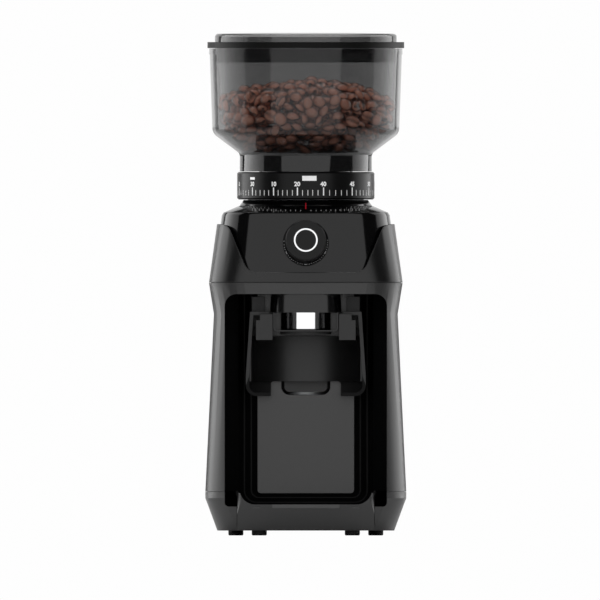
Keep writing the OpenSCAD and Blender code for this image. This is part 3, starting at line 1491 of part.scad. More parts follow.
module hopper_bowl() {
    color([0.35, 0.35, 0.37, 0.4]) on_burr_axis(0) difference() {
        union() {
            rotate_extrude() polygon(concat([[0, hopper_z0]], hopper_side(0),
                [[0, hopper_top - hopper_bead_h]]));
            translate([0, 0, hopper_top - hopper_bead_h - eps])
                cylinder(r = hopper_bead_r, h = hopper_bead_h);
            translate([0, 0, spigot_z0]) cylinder(r = spigot_r, h = 30);
        }
        difference() {
            rotate_extrude() polygon(concat([[0, hopper_z0 - 5]], hopper_side(hopper_wall),
                [[hopper_r - hopper_wall, hopper_top + 1], [0, hopper_top + 1]]));
            translate([0, 0, floor_z]) cylinder(r = neck_r + 5, h = floor_t);
            translate([0, 0, hopper_z0 - 6]) cylinder(r = spigot_r, h = floor_z - hopper_z0 + 7);
            translate([0, 0, hopper_z0]) tube(neck_r + 1, spigot_r - 1, 2);
        }
        translate([0, 0, spigot_z0 - 1])
            cylinder(r = spigot_r - hopper_wall, h = floor_z - spigot_z0 + 1);
        outlets(floor_z - 1, floor_t + 2);
        translate([0, 0, floor_z - 1]) cylinder(r = 2.1, h = 10);
    }
}

module outlets(z, h) {
    for (i = [0:outlet_count - 1]) rotate(i * 360 / outlet_count - 90 / outlet_count)
        translate([0, 0, z]) intersection() {
        tube(spigot_r - hopper_wall - 4, 6, h);
        box(0, 60, 0, 60, -1, h + 1);
        rotate(180 / outlet_count - 90) box(0, 60, 0, 60, -1, h + 1);
    }
}

shutter_z = floor_z - 0.3 - 2;

module hopper_shutter() {
    color("#3a3a3e") on_burr_axis(0) difference() {
        translate([0, 0, shutter_z]) cylinder(r = spigot_r - hopper_wall - fit, h = 2);
        outlets(shutter_z - 1, 4);
        translate([0, 0, shutter_z - 1]) cylinder(r = 2 + run_fit, h = 10);
    }
}

module shutter_screw() {
    color("#9a9a98") on_burr_axis(shutter_z - 2) union() {
        cylinder(r = 4.4, h = 1.7);
        cylinder(r = 2, h = 2 + 2 + floor_t + 0.3);
        translate([0, 0, 4.3 + floor_t]) cylinder(r1 = 4.4, r2 = 3.4, h = 1.8);
    }
}

// ---- lid ----

seal_z = hopper_top + 0.2;
lid_z = seal_z + seal_h;
lid_edge_r = 2.6;
skirt_r = hopper_r - hopper_wall - 2.4;

module lid_seal() {
    color("#141414") on_burr_axis(seal_z) difference() {
        cylinder(r = seal_r, h = seal_h);
        translate([0, 0, -1]) cylinder(r = skirt_r + 0.1, h = seal_h + 2);
        translate([0, 0, -1]) tube(seal_r - 2.6, hopper_r - hopper_wall + 1, 1.6);
    }
}

module hopper_lid() {
    color([0.35, 0.35, 0.37, 0.4]) on_burr_axis(lid_z) difference() {
        union() {
            cylinder(r = lid_r, h = lid_h - lid_edge_r - 0.6);
            translate([0, 0, lid_h - lid_edge_r - 0.6 - eps]) rotate_extrude()
                polygon(concat([[0, 0]], arc(lid_r - lid_edge_r, 0, lid_edge_r, 0, 90, 5),
                    [[34, lid_edge_r + 0.6], [0, lid_edge_r + 0.6]]));
            translate([0, 0, -skirt_depth]) cylinder(r = skirt_r, h = skirt_depth + 1);
        }
        translate([0, 0, -skirt_depth - 1])
            cylinder(r = skirt_r - lid_wall, h = skirt_depth + lid_h - lid_wall);
    }
}

foot_pads();
foot_screws();
base_pan();
lower_shell();
shoulder_cowl();
rear_cover();
cover_screws();
cord_gland();
upper_housing();
setting_mark();
alcove_liner();
chute_block();
outlet_holder();
outlet_tube();
outlet_seal();
chute_flap();
cradle();
cradle_pegs();
start_paddle();
paddle_pin();
paddle_spring();
start_switch();
grinds_tray();
knob_bezel();
knob_cap();
knob_light_ring();
knob_shaft();
knob_spring();
knob_encoder();
control_board();
board_screws();
grind_collar();
collar_retainer();
burr_carrier();
ring_burr();
ring_burr_screws();
cone_burr();
burr_nut();
burr_shaft();
impeller();
shaft_bearings();
grind_chamber();
burr_gear();
idler_gear();
idler_pin();
motor_pinion();
motor_shaft();
motor_can();
motor_cap();
gear_plate();
gear_plate_screws();
hopper_bowl();
hopper_shutter();
shutter_screw();
hopper_lid();
lid_seal();
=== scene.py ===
import json
import math
import random

import bpy
from mathutils import Matrix, Vector

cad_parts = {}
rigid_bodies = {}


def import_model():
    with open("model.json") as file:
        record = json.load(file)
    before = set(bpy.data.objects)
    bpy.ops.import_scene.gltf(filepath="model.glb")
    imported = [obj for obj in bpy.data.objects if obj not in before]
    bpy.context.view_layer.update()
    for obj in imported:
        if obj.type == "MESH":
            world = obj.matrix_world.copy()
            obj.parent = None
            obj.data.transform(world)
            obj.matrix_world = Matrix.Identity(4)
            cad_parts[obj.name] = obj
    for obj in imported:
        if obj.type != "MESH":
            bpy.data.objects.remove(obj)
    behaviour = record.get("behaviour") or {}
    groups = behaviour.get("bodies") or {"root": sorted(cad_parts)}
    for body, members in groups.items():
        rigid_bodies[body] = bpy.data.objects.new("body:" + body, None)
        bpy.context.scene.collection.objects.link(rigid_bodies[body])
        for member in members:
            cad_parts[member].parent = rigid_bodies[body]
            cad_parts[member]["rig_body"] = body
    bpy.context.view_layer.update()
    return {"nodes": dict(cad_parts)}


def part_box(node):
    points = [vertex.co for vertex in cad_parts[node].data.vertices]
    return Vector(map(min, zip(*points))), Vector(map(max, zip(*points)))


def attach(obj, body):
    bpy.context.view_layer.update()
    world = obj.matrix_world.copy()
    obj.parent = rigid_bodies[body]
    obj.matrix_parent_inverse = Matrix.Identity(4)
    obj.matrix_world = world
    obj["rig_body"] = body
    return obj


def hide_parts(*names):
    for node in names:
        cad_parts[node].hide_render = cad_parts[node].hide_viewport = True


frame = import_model()
bpy.ops.object.select_all(action="DESELECT")


# ---- Feet ----
# Four soft pads carry the grinder. They are moulded in black rubber and each is
# pulled up into the floor pan by one steel screw.

class Wire:
    """A shader socket that can stand in a sum: each operator adds its own Math node."""

    def __init__(self, tree, socket=None):
        self.tree = tree
        self.socket = socket

    def node(self, kind, sockets=None, out=0, stops=None, **settings):
        """A new node's output, with values or wires in its sockets and grey stops on its ramp."""
        made = self.tree.nodes.new(kind)
        for name, value in settings.items():
            setattr(made, name, value)
        for i, (place, shade) in enumerate(stops or []):
            ramp = made.color_ramp
            stop = ramp.elements[i] if i < 2 else ramp.elements.new(place)
            stop.position = place
            stop.color = (shade, shade, shade, 1)
        for key, value in (sockets or {}).items():
            if isinstance(value, Wire):
                self.tree.links.new(value.socket, made.inputs[key])
            else:
                made.inputs[key].default_value = value
        return Wire(self.tree, made.outputs[out])

    def __add__(self, other):
        return self.node("ShaderNodeMath", {0: self, 1: other}, operation="ADD")

    def __sub__(self, other):
        return self.node("ShaderNodeMath", {0: self, 1: other}, operation="SUBTRACT")

    def __rsub__(self, other):
        return self.node("ShaderNodeMath", {0: other, 1: self}, operation="SUBTRACT")

    def __mul__(self, other):
        return self.node("ShaderNodeMath", {0: self, 1: other}, operation="MULTIPLY")

    __radd__ = __add__
    __rmul__ = __mul__

    def place(self):
        """The place on the piece."""
        return self.node("ShaderNodeTexCoord", out="Object")

    def along(self, axis):
        """The place on the piece along one axis."""
        return self.node("ShaderNodeSeparateXYZ", {"Vector": self.place()}, out=axis)

    def noise(self, scale, detail, roughness):
        """Noise that is fixed to the piece."""
        return self.node("ShaderNodeTexNoise", {
            "Vector": self.place(), "Scale": scale, "Detail": detail, "Roughness": roughness})

    def share(self, low, high):
        """How far this value lies from low to high, from 0 to 1."""
        return self.node("ShaderNodeMapRange", {
            "Value": self, "From Min": low, "From Max": high}, out="Result")

    def between(self, dark, light):
        """The colour that lies this far from dark to light."""
        return self.node("ShaderNodeMix", {
            0: self, 6: (*dark, 1), 7: (*light, 1)}, out=2, data_type="RGBA")

    def bump(self, relief, normal=None):
        """The normal of a skin that stands out by the relief where this value is 1."""
        sockets = {"Strength": 1.0, "Distance": relief, "Height": self}
        if normal is not None:
            sockets["Normal"] = normal
        return self.node("ShaderNodeBump", sockets)


def finish(name):
    """A new finish: its material, its shader and a bare wire to start sums from."""
    material = bpy.data.materials.new(name)
    material.use_nodes = True
    shader = material.node_tree.nodes["Principled BSDF"]
    return material, shader, Wire(material.node_tree)


def feed(wire, shader, socket):
    """Lets a wire set one of a shader's inputs."""
    wire.tree.links.new(wire.socket, shader.inputs[socket])


def tune(shader, values):
    """Sets those inputs of a shader that are the same all over."""
    for socket, value in values.items():
        shader.inputs[socket].default_value = value


def moulding(name, dark, light, roughness, grain, relief, spread=0.05, specular=0.32, edge=0.0004,
             metallic=0.0):
    """A moulded skin: its grain comes from the tool, its tone and polish drift slowly over the piece,
    and its edges are softened by the radius that the tool leaves."""
    material, shader, start = finish(name)
    grit = start.noise(1 / grain, 3.0, 0.6)
    drift = start.noise(14.0, 2.0, 0.5)
    tone = grit * 0.5 + drift * 0.5
    feed(tone.between(dark, light), shader, "Base Color")
    feed(roughness - spread / 2 + drift * spread, shader, "Roughness")
    soft = start.node("ShaderNodeBevel", {"Radius": edge}, samples=4)
    feed(grit.bump(relief, soft), shader, "Normal")
    tune(shader, {"Specular IOR Level": specular, "Metallic": metallic})
    return material


def dress(material, *names):
    """Gives these parts of the frame their finish."""
    for name in names:
        part = frame["nodes"][name]
        if not part.material_slots:
            part.data.materials.append(material)
        for held in part.material_slots:
            held.material = material


def select_only(*pieces):
    """Selects these pieces and nothing else, and makes the first one active."""
    bpy.ops.object.select_all(action="DESELECT")
    for piece in pieces:
        piece.select_set(True)
    bpy.context.view_layer.objects.active = pieces[0]


def skin(slot, *names):
    """Joins the loose triangles of these parts in a copy, so that their curved faces shade as one."""
    weld_gap, sharp_from = 0.00001, math.radians(24)
    for name in names:
        part = frame["nodes"][name]
        piece = bpy.data.objects.new(name + "_skin", part.data.copy())
        bpy.context.collection.objects.link(piece)
        select_only(piece)
        bpy.ops.mesh.customdata_custom_splitnormals_clear()
        bpy.ops.object.mode_set(mode="EDIT")
        bpy.ops.mesh.select_all(action="SELECT")
        bpy.ops.mesh.remove_doubles(threshold=weld_gap)
        bpy.ops.object.mode_set(mode="OBJECT")
        bpy.ops.object.shade_smooth_by_angle(angle=sharp_from)
        even = piece.modifiers.new("even", "WEIGHTED_NORMAL")
        even.keep_sharp = True
        bpy.ops.object.modifier_apply(modifier=even.name)
        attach(piece, part["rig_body"])
        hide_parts(name)


def turned_metal(name, dark, light, roughness, line):
    """A machined metal with fine tool lines that run round the upright axis."""
    material, shader, start = finish(name)
    stretched = start.node("ShaderNodeMapping", {"Vector": start.place(), "Scale": (1.0, 1.0, 14.0)})
    lines = start.node("ShaderNodeTexNoise", {
        "Vector": stretched, "Scale": 1 / line, "Detail": 2.0, "Roughness": 0.5})
    feed(lines.between(dark, light), shader, "Base Color")
    feed(roughness - 0.06 + lines * 0.12, shader, "Roughness")
    feed(lines.bump(0.000006), shader, "Normal")
    tune(shader, {"Metallic": 1.0})
    return material


pad_rubber = moulding(
    "pad_rubber", (0.010, 0.010, 0.010), (0.024, 0.024, 0.024),
    roughness=0.72, grain=0.0007, relief=0.00003, spread=0.12, specular=0.35)
screw_steel = turned_metal("screw_steel", (0.42, 0.42, 0.43), (0.62, 0.62, 0.63), 0.30, 0.004)
dress(pad_rubber, "foot_pads")
dress(screw_steel, "foot_screws")
skin("black_rubber", "foot_pads")


# ---- Floor pan and casing ----
# The pan, the tapered casing and the rear cover are injection moulded in black ABS
# with a fine satin skin. The pan carries the motor and the casing stands round it.

casing_satin = moulding(
    "casing_satin", (0.0020, 0.0020, 0.0021), (0.0036, 0.0036, 0.0038),
    roughness=0.36, grain=0.0006, relief=0.000010, specular=0.60)
pan_satin = moulding(
    "pan_satin", (0.0020, 0.0020, 0.0021), (0.0036, 0.0036, 0.0038),
    roughness=0.34, grain=0.0006, relief=0.000010, specular=0.72)
dress(casing_satin, "lower_shell", "rear_cover")
dress(pan_satin, "base_pan")
dress(screw_steel, "cover_screws")
dress(pad_rubber, "cord_gland")
skin("matt_black", "lower_shell", "rear_cover", "base_pan")


# ---- Shoulder cowl ----
# One collar of semi-gloss ABS laps over the top of the casing and rises at each side
# into the two ears that flank the control panel.

cowl_satin = moulding(
    "cowl_satin", (0.0016, 0.0016, 0.0017), (0.0030, 0.0030, 0.0032),
    roughness=0.28, grain=0.0008, relief=0.000006, specular=0.40, edge=0.0016)
dress(cowl_satin, "shoulder_cowl")
skin("matt_black", "shoulder_cowl")


# ---- Head and control panel ----
# The head is a single polished black moulding, with the leaning control panel at the
# front and a stepped neck on top that the grind collar turns on.

panel_gloss = moulding(
    "panel_gloss", (0.0008, 0.0008, 0.0009), (0.0016, 0.0016, 0.0018),
    roughness=0.10, grain=0.009, relief=0.000004, spread=0.04, specular=0.34)
mark_ink = moulding(
    "mark_ink", (0.42, 0.004, 0.012), (0.50, 0.006, 0.018),
    roughness=0.45, grain=0.0006, relief=0.000004)
dress(panel_gloss, "upper_housing")
dress(mark_ink, "setting_mark")
skin("gloss_black", "upper_housing")


# ---- Working bay ----
# A satin liner lines the bay where a portafilter hangs. The chute block, the fork that
# holds the portafilter and the start paddle are plain black mouldings screwed to it. All of the
# liner but its rear panel, and the front of the fork's lower lip, get a darker, duller copy of
# the bay's satin as painted shade, for the shade deep in the bay.

bay_satin = moulding(
    "bay_satin", (0.0015, 0.0015, 0.0016), (0.0028, 0.0028, 0.0030),
    roughness=0.20, grain=0.0007, relief=0.000006, specular=0.62, edge=0.0010)
bay_painted_shade = moulding(
    "bay_painted_shade", (0.0012, 0.0012, 0.0013), (0.0022, 0.0022, 0.0024),
    roughness=0.42, grain=0.0007, relief=0.000010, specular=0.10)
block_gloss = moulding(
    "block_gloss", (0.0012, 0.0012, 0.0013), (0.0024, 0.0024, 0.0026),
    roughness=0.18, grain=0.0007, relief=0.000005, specular=0.44)
fork_satin = moulding(
    "fork_satin", (0.0015, 0.0015, 0.0016), (0.0030, 0.0030, 0.0032),
    roughness=0.36, grain=0.0007, relief=0.000008, specular=0.44)
dress(bay_satin, "alcove_liner")
dress(block_gloss, "chute_block", "outlet_holder")
dress(fork_satin, "cradle", "start_paddle")
dress(pad_rubber, "cradle_pegs", "outlet_seal", "chute_flap")
skin("matt_black", "alcove_liner", "outlet_holder", "chute_block", "cradle", "start_paddle")


def looks_forward(face):
    """Whether a face looks towards the grinder's front."""
    return face.normal.y < -0.9


def share_finish(skin_name, second, wanted):
    """Gives the wanted faces of a skin a second finish."""
    mesh = bpy.data.objects[skin_name].data
    mesh.materials.append(second)
    for face in mesh.polygons:
        face.material_index = 1 if wanted(face) else 0


lip_top = 0.1172
liner_faces = bpy.data.objects["alcove_liner_skin"].data.polygons
rear_panel_y = max(filter(looks_forward, liner_faces), key=lambda face: face.area).center.y
# Painted shade: all of the liner but its rear panel, and the front of the fork's lower lip, take the darker,
# duller copy of the bay's satin.
share_finish("alcove_liner_skin", bay_painted_shade,
             lambda face: not (looks_forward(face) and abs(face.center.y - rear_panel_y) < 0.0005))
share_finish("cradle_skin", bay_painted_shade, lambda face: looks_forward(face) and face.center.z < lip_top)


# ---- Outlet ----
# The ground coffee leaves through a short deep-drawn steel tube that is polished and
# chromed. It hangs in a black carrier under the chute block.

chrome_plate, chrome_shader, chrome_start = finish("chrome_plate")
tune(chrome_shader, {"Base Color": (0.82, 0.82, 0.83, 1), "Metallic": 1.0})
smears = chrome_start.noise(90.0, 3.0, 0.5)
feed(0.05 + smears * 0.06, chrome_shader, "Roughness")
dress(chrome_plate, "outlet_tube")
skin("chrome", "outlet_tube")
dress(screw_steel, "paddle_pin", "paddle_spring")


# ---- Grinds tray ----
# The tray is a deep-edged satin moulding that slides out of the floor pan. Its front
# strip stays bare.

tray_satin = moulding(
    "tray_satin", (0.0020, 0.0020, 0.0021), (0.0036, 0.0036, 0.0038),
    roughness=0.32, grain=0.0006, relief=0.000010, specular=0.74)
dress(tray_satin, "grinds_tray")
skin("matt_black", "grinds_tray")


# ---- Control knob ----
# A push-and-turn knob with a soft-touch cap, a polished bezel round it and a lit ring
# of milky polycarbonate let into its face.

cap_soft = moulding(
    "cap_soft", (0.0016, 0.0016, 0.0017), (0.0030, 0.0030, 0.0032),
    roughness=0.34, grain=0.0005, relief=0.000006, specular=0.20)
bezel_gloss = moulding(
    "bezel_gloss", (0.0010, 0.0010, 0.0011), (0.0022, 0.0022, 0.0024),
    roughness=0.18, grain=0.004, relief=0.000003, specular=0.10)
ring_glow, ring_shader, ring_start = finish("ring_glow")
bead = ring_start.noise(160.0, 1.0, 0.5)
feed(bead.between((0.86, 0.88, 0.90), (1.0, 1.0, 1.0)), ring_shader, "Emission Color")
tune(ring_shader, {"Base Color": (0.25, 0.25, 0.25, 1), "Roughness": 0.4, "Emission Strength": 0.80})
dress(cap_soft, "knob_cap")
dress(bezel_gloss, "knob_bezel")
dress(ring_glow, "knob_light_ring")
dress(screw_steel, "knob_shaft", "knob_spring")
skin("gloss_black", "knob_bezel", "knob_cap")


# ---- Electronics ----
# A small glass-fibre board behind the panel carries the push encoder, and a micro
# switch sits behind the start paddle.

board_green = moulding(
    "board_green", (0.012, 0.075, 0.035), (0.020, 0.11, 0.05),
    roughness=0.38, grain=0.002, relief=0.00001, spread=0.1)
part_grey = moulding(
    "part_grey", (0.03, 0.03, 0.032), (0.06, 0.06, 0.064),
    roughness=0.5, grain=0.0008, relief=0.00001, spread=0.08)
dress(board_green, "control_board")
dress(part_grey, "knob_encoder", "start_switch")
dress(screw_steel, "board_screws")


# ---- Burrs and grinding chamber ----
# The chamber is a zinc casting. The ring burr and the cone burr are hardened steel,
# ground to a satin edge, and the carrier threads the ring burr up and down.

chamber_alloy = moulding(
    "chamber_alloy", (0.30, 0.30, 0.31), (0.46, 0.46, 0.47),
    roughness=0.48, grain=0.0012, relief=0.00003, spread=0.12, metallic=1.0)
burr_steel = turned_metal("burr_steel", (0.34, 0.34, 0.35), (0.52, 0.52, 0.53), 0.34, 0.003)
dress(chamber_alloy, "grind_chamber", "collar_retainer")
dress(burr_steel, "ring_burr", "cone_burr", "burr_shaft", "burr_nut", "impeller")
dress(screw_steel, "ring_burr_screws", "shaft_bearings")
dress(part_grey, "burr_carrier")


# ---- Motor and gears ----
# A mains motor in a pressed steel can drives the burrs down through a steel pinion and
# two nylon gears, which run in a ribbed plate under the chamber.

gear_nylon = moulding(
    "gear_nylon", (0.62, 0.58, 0.48), (0.74, 0.70, 0.60),
    roughness=0.42, grain=0.0009, relief=0.00001, spread=0.08)
can_steel = turned_metal("can_steel", (0.36, 0.37, 0.38), (0.50, 0.51, 0.52), 0.38, 0.006)
dress(gear_nylon, "burr_gear", "idler_gear")
dress(can_steel, "motor_can", "motor_shaft", "motor_pinion", "idler_pin")
dress(part_grey, "motor_cap", "gear_plate")
dress(screw_steel, "gear_plate_screws")


# ---- Grind collar ----
# The collar is turned by hand to set the grind. It is moulded in black and its scale,
# numbers and field marks are printed on it in white.

collar_satin = moulding(
    "collar_satin", (0.0012, 0.0012, 0.0013), (0.0024, 0.0024, 0.0026),
    roughness=0.28, grain=0.0006, relief=0.000006, specular=0.17)
dress(collar_satin, "grind_collar")
skin("gloss_black", "grind_collar")
scale_ink = moulding(
    "scale_ink", (0.92, 0.92, 0.92), (0.98, 0.98, 0.98),
    roughness=0.55, grain=0.0004, relief=0.000002)
collar_low, collar_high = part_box("grind_collar")
collar_axis = (collar_low + collar_high) / 2
collar_radius = (collar_high.x - collar_low.x) / 2
ink_lift, ink_wall = 0.00004, 0.00003
ticks_z, minor_z, major_z, digits_z = 0.2571, 0.2612, 0.2632, 0.2643
front_majors, rear_pitch = [-75.5, -51.2, -28.0, -7.2, 14.8, 42.5, 66.5], 24.22
rear_majors = [front_majors[-1] + rear_pitch * i for i in range(1, 9)]
majors = front_majors + rear_majors
next_majors = majors[1:] + [majors[0] + 360]
minors = [start + (end - start) * i / 5 for start, end in zip(majors, next_majors) for i in range(1, 5)]


def keep_faces(piece, wanted):
    """Deletes the faces of a piece that aren't wanted."""
    select_only(piece)
    bpy.ops.object.mode_set(mode="EDIT")
    bpy.ops.mesh.select_mode(type="FACE")
    bpy.ops.mesh.select_all(action="DESELECT")
    bpy.ops.object.mode_set(mode="OBJECT")
    for face in piece.data.polygons:
        face.select = not wanted(face.center)
    bpy.ops.object.mode_set(mode="EDIT")
    bpy.ops.mesh.delete(type="FACE")
    bpy.ops.object.mode_set(mode="OBJECT")


def settle(piece):
    """Puts a piece's place into its mesh, so that the object itself sits at the origin."""
    select_only(piece)
    bpy.ops.object.transform_apply(location=True, rotation=True, scale=True)


def join(*pieces):
    """Joins these pieces into the first one."""
    select_only(*pieces)
    bpy.ops.object.join()
    return pieces[0]


def thicken(piece):
    """Gives a printed film its thickness."""
    film = piece.modifiers.new("film", "SOLIDIFY")
    film.thickness = ink_wall
    film.offset = 1.0
    select_only(piece)
    bpy.ops.object.modifier_apply(modifier=film.name)


def print_on(piece, ink, body):
    """Gives a printed film its ink and the body that it rides on."""
    piece.data.materials.clear()
    piece.data.materials.append(ink)
    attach(piece, body)


def bearing_of(point):
    """Degrees round the collar from its front, positive to the right."""
    return math.degrees(math.atan2(point.x - collar_axis.x, -(point.y - collar_axis.y)))


def scale_band(name, low, high, steps, wanted):
    """A band of film round the collar between two heights, cut down to the wanted faces."""
    bpy.ops.mesh.primitive_cylinder_add(
        vertices=steps, radius=collar_radius + ink_lift, depth=high - low, end_fill_type="NOTHING",
        location=(collar_axis.x, collar_axis.y, (low + high) / 2))
    band = bpy.context.active_object
    band.name = name
    settle(band)
    keep_faces(band, wanted)
    thicken(band)
    print_on(band, scale_ink, "grind_collar")


def near_mark(point, marks, half):
    """Whether a point lies within half a mark's width of one of the marks."""
    here = bearing_of(point)
    return any(abs((here - mark + 180) % 360 - 180) < half for mark in marks)


scale_band("collar_minor_ticks", ticks_z, minor_z, 720, lambda point: near_mark(point, minors, half=0.25))
scale_band("collar_major_ticks", ticks_z, major_z, 720, lambda point: near_mark(point, majors, half=0.50))
fields = {
    "collar_field_wide": {"left": -2.7, "right": 8.7, "low": 0.2683, "high": 0.2720},
    "collar_field_short": {"left": -53.6, "right": -48.2, "low": 0.2691, "high": 0.2710}}
for name, field in fields.items():
    scale_band(name, field["low"], field["high"], 360,
               lambda point: field["left"] < bearing_of(point) < field["right"])

collar_numbers = ["0", "30", "10", "20", "40", "45", "50", "55", "60", "65", "70", "75", "80", "5", "15"]
printed = []
for bearing, words in zip(majors, collar_numbers):
    bpy.ops.object.text_add()
    number = bpy.context.active_object
    number.data.body = words
    number.data.align_x = "CENTER"
    number.data.size = 0.0046
    number.data.offset = 0.00017
    number.data.extrude = 0.000015
    number.data.resolution_u = 3
    bpy.ops.object.convert(target="MESH")
    number = bpy.context.active_object
    turn = Matrix.Rotation(math.radians(bearing), 4, "Z")
    upright = Matrix.Rotation(math.pi / 2, 4, "X")
    stand = Matrix.Translation((0, -(collar_radius + ink_lift), digits_z)) @ upright
    number.data.transform(Matrix.Translation((collar_axis.x, collar_axis.y, 0)) @ turn @ stand)
    printed.append(number)
collar_digits = join(*printed)
collar_digits.name = "collar_digits"
print_on(collar_digits, scale_ink, "grind_collar")


# ---- Painted reflection of the collar's ticks ----
# A finer row of grey ticks is painted on the slope of the head under the collar, on both sides
# of the red setting mark, as a painted reflection of the collar's scale in the polished head.

head_skin = bpy.data.objects["upper_housing_skin"]
tick_reflection_mesh = bpy.data.meshes.new("tick_reflection_mesh")
deck_ring, deck_pitch, deck_steps, deck_lift = 0.0507, 4.4, 12, 0.00005
deck_foot, foot_rise, deck_head, head_rise = 0.2452, 0.0005, 0.2463, 0.0017
deck_half, half_taper, ahead = 0.00034, 0.00010, -0.2
tick_corners = []
for i in range(-deck_steps, deck_steps + 1):
    swing = math.sin(math.radians(deck_pitch * i))
    middle = deck_ring * swing
    foot, head = deck_foot + foot_rise * swing ** 2, deck_head + head_rise * swing ** 2
    half = deck_half - half_taper * abs(swing)
    corners = [(middle - half, foot), (middle + half, foot), (middle + half, head), (middle - half, head)]
    hits = [head_skin.ray_cast((x, ahead, z), (0, 1, 0)) for x, z in corners]
    if all(hit[0] for hit in hits) and i != 0:
        tick_corners += [hit[1] + hit[2] * deck_lift for hit in hits]
tick_reflection_mesh.from_pydata(tick_corners, [], [range(i, i + 4) for i in range(0, len(tick_corners), 4)])
deck_ticks = bpy.data.objects.new("deck_ticks", tick_reflection_mesh)
bpy.context.collection.objects.link(deck_ticks)
# The ticks' grey is a painted reflection of the collar's white scale, not print on the head.
reflection_grey = moulding(
    "reflection_grey", (0.14, 0.14, 0.14), (0.20, 0.20, 0.20),
    roughness=0.55, grain=0.0004, relief=0.000002)
print_on(deck_ticks, reflection_grey, "housing")


# ---- Knob scale ----
# A fine ring of ticks and three dots is printed on the sloping edge of the bezel round
# the knob. It stays still while the knob turns.

panel_lean = math.radians(7.8)
knob_middle = Vector((0, -0.077145, 0.2212))
bezel_foot, bezel_head, bezel_out = (0.0174, 0.0001), (0.0160, 0.0017), (0.75, 0.66)
knob_tick_pitch, knob_tick_wide = 6.25, 1.25
dot_bearings, dot_size, dot_lift, dot_lean = (-152, -90, -28), 0.00050, 0.00005, math.radians(49)
dim_ink = moulding(
    "dim_ink", (0.36, 0.36, 0.36), (0.46, 0.46, 0.46),
    roughness=0.55, grain=0.0004, relief=0.000002)


def on_bezel(share, lift):
    """Radius and height of a point that lies this share of the way up the bezel's slope."""
    radius, height = (low + (high - low) * share for low, high in zip(bezel_foot, bezel_head))
    return radius + lift * bezel_out[0], height + lift * bezel_out[1]


def on_knob_tick(point):
    """Whether a point of the bezel's front half lies on one of its ticks."""
    bearing = math.degrees(math.atan2(point.y, point.x))
    return point.y < 0.003 and (bearing + 0.6) % knob_tick_pitch < knob_tick_wide


tick_foot, tick_head = on_bezel(0.45, ink_lift), on_bezel(0.92, ink_lift)
bpy.ops.mesh.primitive_cone_add(
    vertices=288, radius1=tick_foot[0], radius2=tick_head[0], depth=tick_head[1] - tick_foot[1],
    end_fill_type="NOTHING", location=(0, 0, (tick_head[1] + tick_foot[1]) / 2))
knob_scale = bpy.context.active_object
settle(knob_scale)
keep_faces(knob_scale, on_knob_tick)
dot_radius, dot_height = on_bezel(0.66, dot_lift)
slope = Matrix.Translation((dot_radius, 0, dot_height)) @ Matrix.Rotation(dot_lean, 4, "Y")
dots = []
for bearing in dot_bearings:
    bpy.ops.mesh.primitive_circle_add(vertices=16, radius=dot_size, fill_type="NGON")
    dot = bpy.context.active_object
    dot.data.transform(Matrix.Rotation(math.radians(bearing), 4, "Z") @ slope)
    dots.append(dot)
join(knob_scale, *dots)
knob_scale.name = "knob_scale"
thicken(knob_scale)
onto_panel = Matrix.Translation(knob_middle) @ Matrix.Rotation(math.pi / 2 - panel_lean, 4, "X")
knob_scale.data.transform(onto_panel)
print_on(knob_scale, dim_ink, "housing")


# ---- Hopper ----
# The bean hopper is blown in smoked clear copolyester, with a heavier bead at its rim.
# A turning shutter of the same plastic closes its floor.

foot_z, shoulder_z = 0.2875, 0.3110


def smoked(name, cover, edge_cover, roughness, painted_foot_shade=None, specular=0.5):
    """A smoked clear plastic: it hides one share of what is behind it, another where it is seen edge
    on, and a third at the hopper's foot if painted shade is asked for there, which darkens the cone
    and the beans in it."""
    material, shader, start = finish(name)
    haze = start.noise(25.0, 2.0, 0.5)
    slant = start.node("ShaderNodeLayerWeight", {"Blend": 0.35}, out="Facing")
    hidden = cover + slant * (edge_cover - cover) + haze * 0.02
    # Painted shade at the hopper's foot: the plastic turns almost opaque and dark there, for the shade over
    # the beans in the cone.
    if painted_foot_shade:
        rise = start.along("Z").share(foot_z, shoulder_z)
        clear = start.node("ShaderNodeValToRGB", {"Fac": rise}, stops=[(0.0, 0.0), (1.0, 1.0), (0.06, 0.45)])
        hidden = hidden + (1 - clear) * (painted_foot_shade - cover)
    feed(hidden, shader, "Alpha")
    feed(haze.between((0.0030, 0.0030, 0.0032), (0.0050, 0.0050, 0.0052)), shader, "Base Color")
    feed(roughness + haze * 0.04, shader, "Roughness")
    tune(shader, {"Specular IOR Level": specular})
    return material


hopper_smoke = smoked(
    "hopper_smoke", cover=0.52, edge_cover=0.37, roughness=0.04, painted_foot_shade=0.96, specular=0.43)
shutter_smoke = smoked("shutter_smoke", cover=0.80, edge_cover=0.95, roughness=0.12)
dress(hopper_smoke, "hopper_bowl")
dress(shutter_smoke, "hopper_shutter")
dress(screw_steel, "shutter_screw")
skin("smoked_clear", "hopper_bowl")
bpy.data.objects["hopper_bowl_skin"].visible_shadow = False


# ---- Lid and seal ----
# The lid is a shallow dome of the same smoked plastic with a skirt inside the hopper.
# A black rubber ring on it seals and covers the hopper's rim.

lid_smoke = smoked("lid_smoke", cover=0.50, edge_cover=0.80, roughness=0.05)
seal_rubber = moulding(
    "seal_rubber", (0.0012, 0.0012, 0.0012), (0.0022, 0.0022, 0.0022),
    roughness=0.42, grain=0.0006, relief=0.00001, specular=0.10)
dress(lid_smoke, "hopper_lid")
dress(seal_rubber, "lid_seal")
skin("smoked_clear", "hopper_lid")
bpy.data.objects["hopper_lid_skin"].visible_shadow = False
skin("black_rubber", "lid_seal")


# ---- Coffee beans ----
# Roasted beans lie heaped in the hopper, higher in the middle. Each has a domed back,
# a flatter belly with the crease in it, and a thin film of oil.

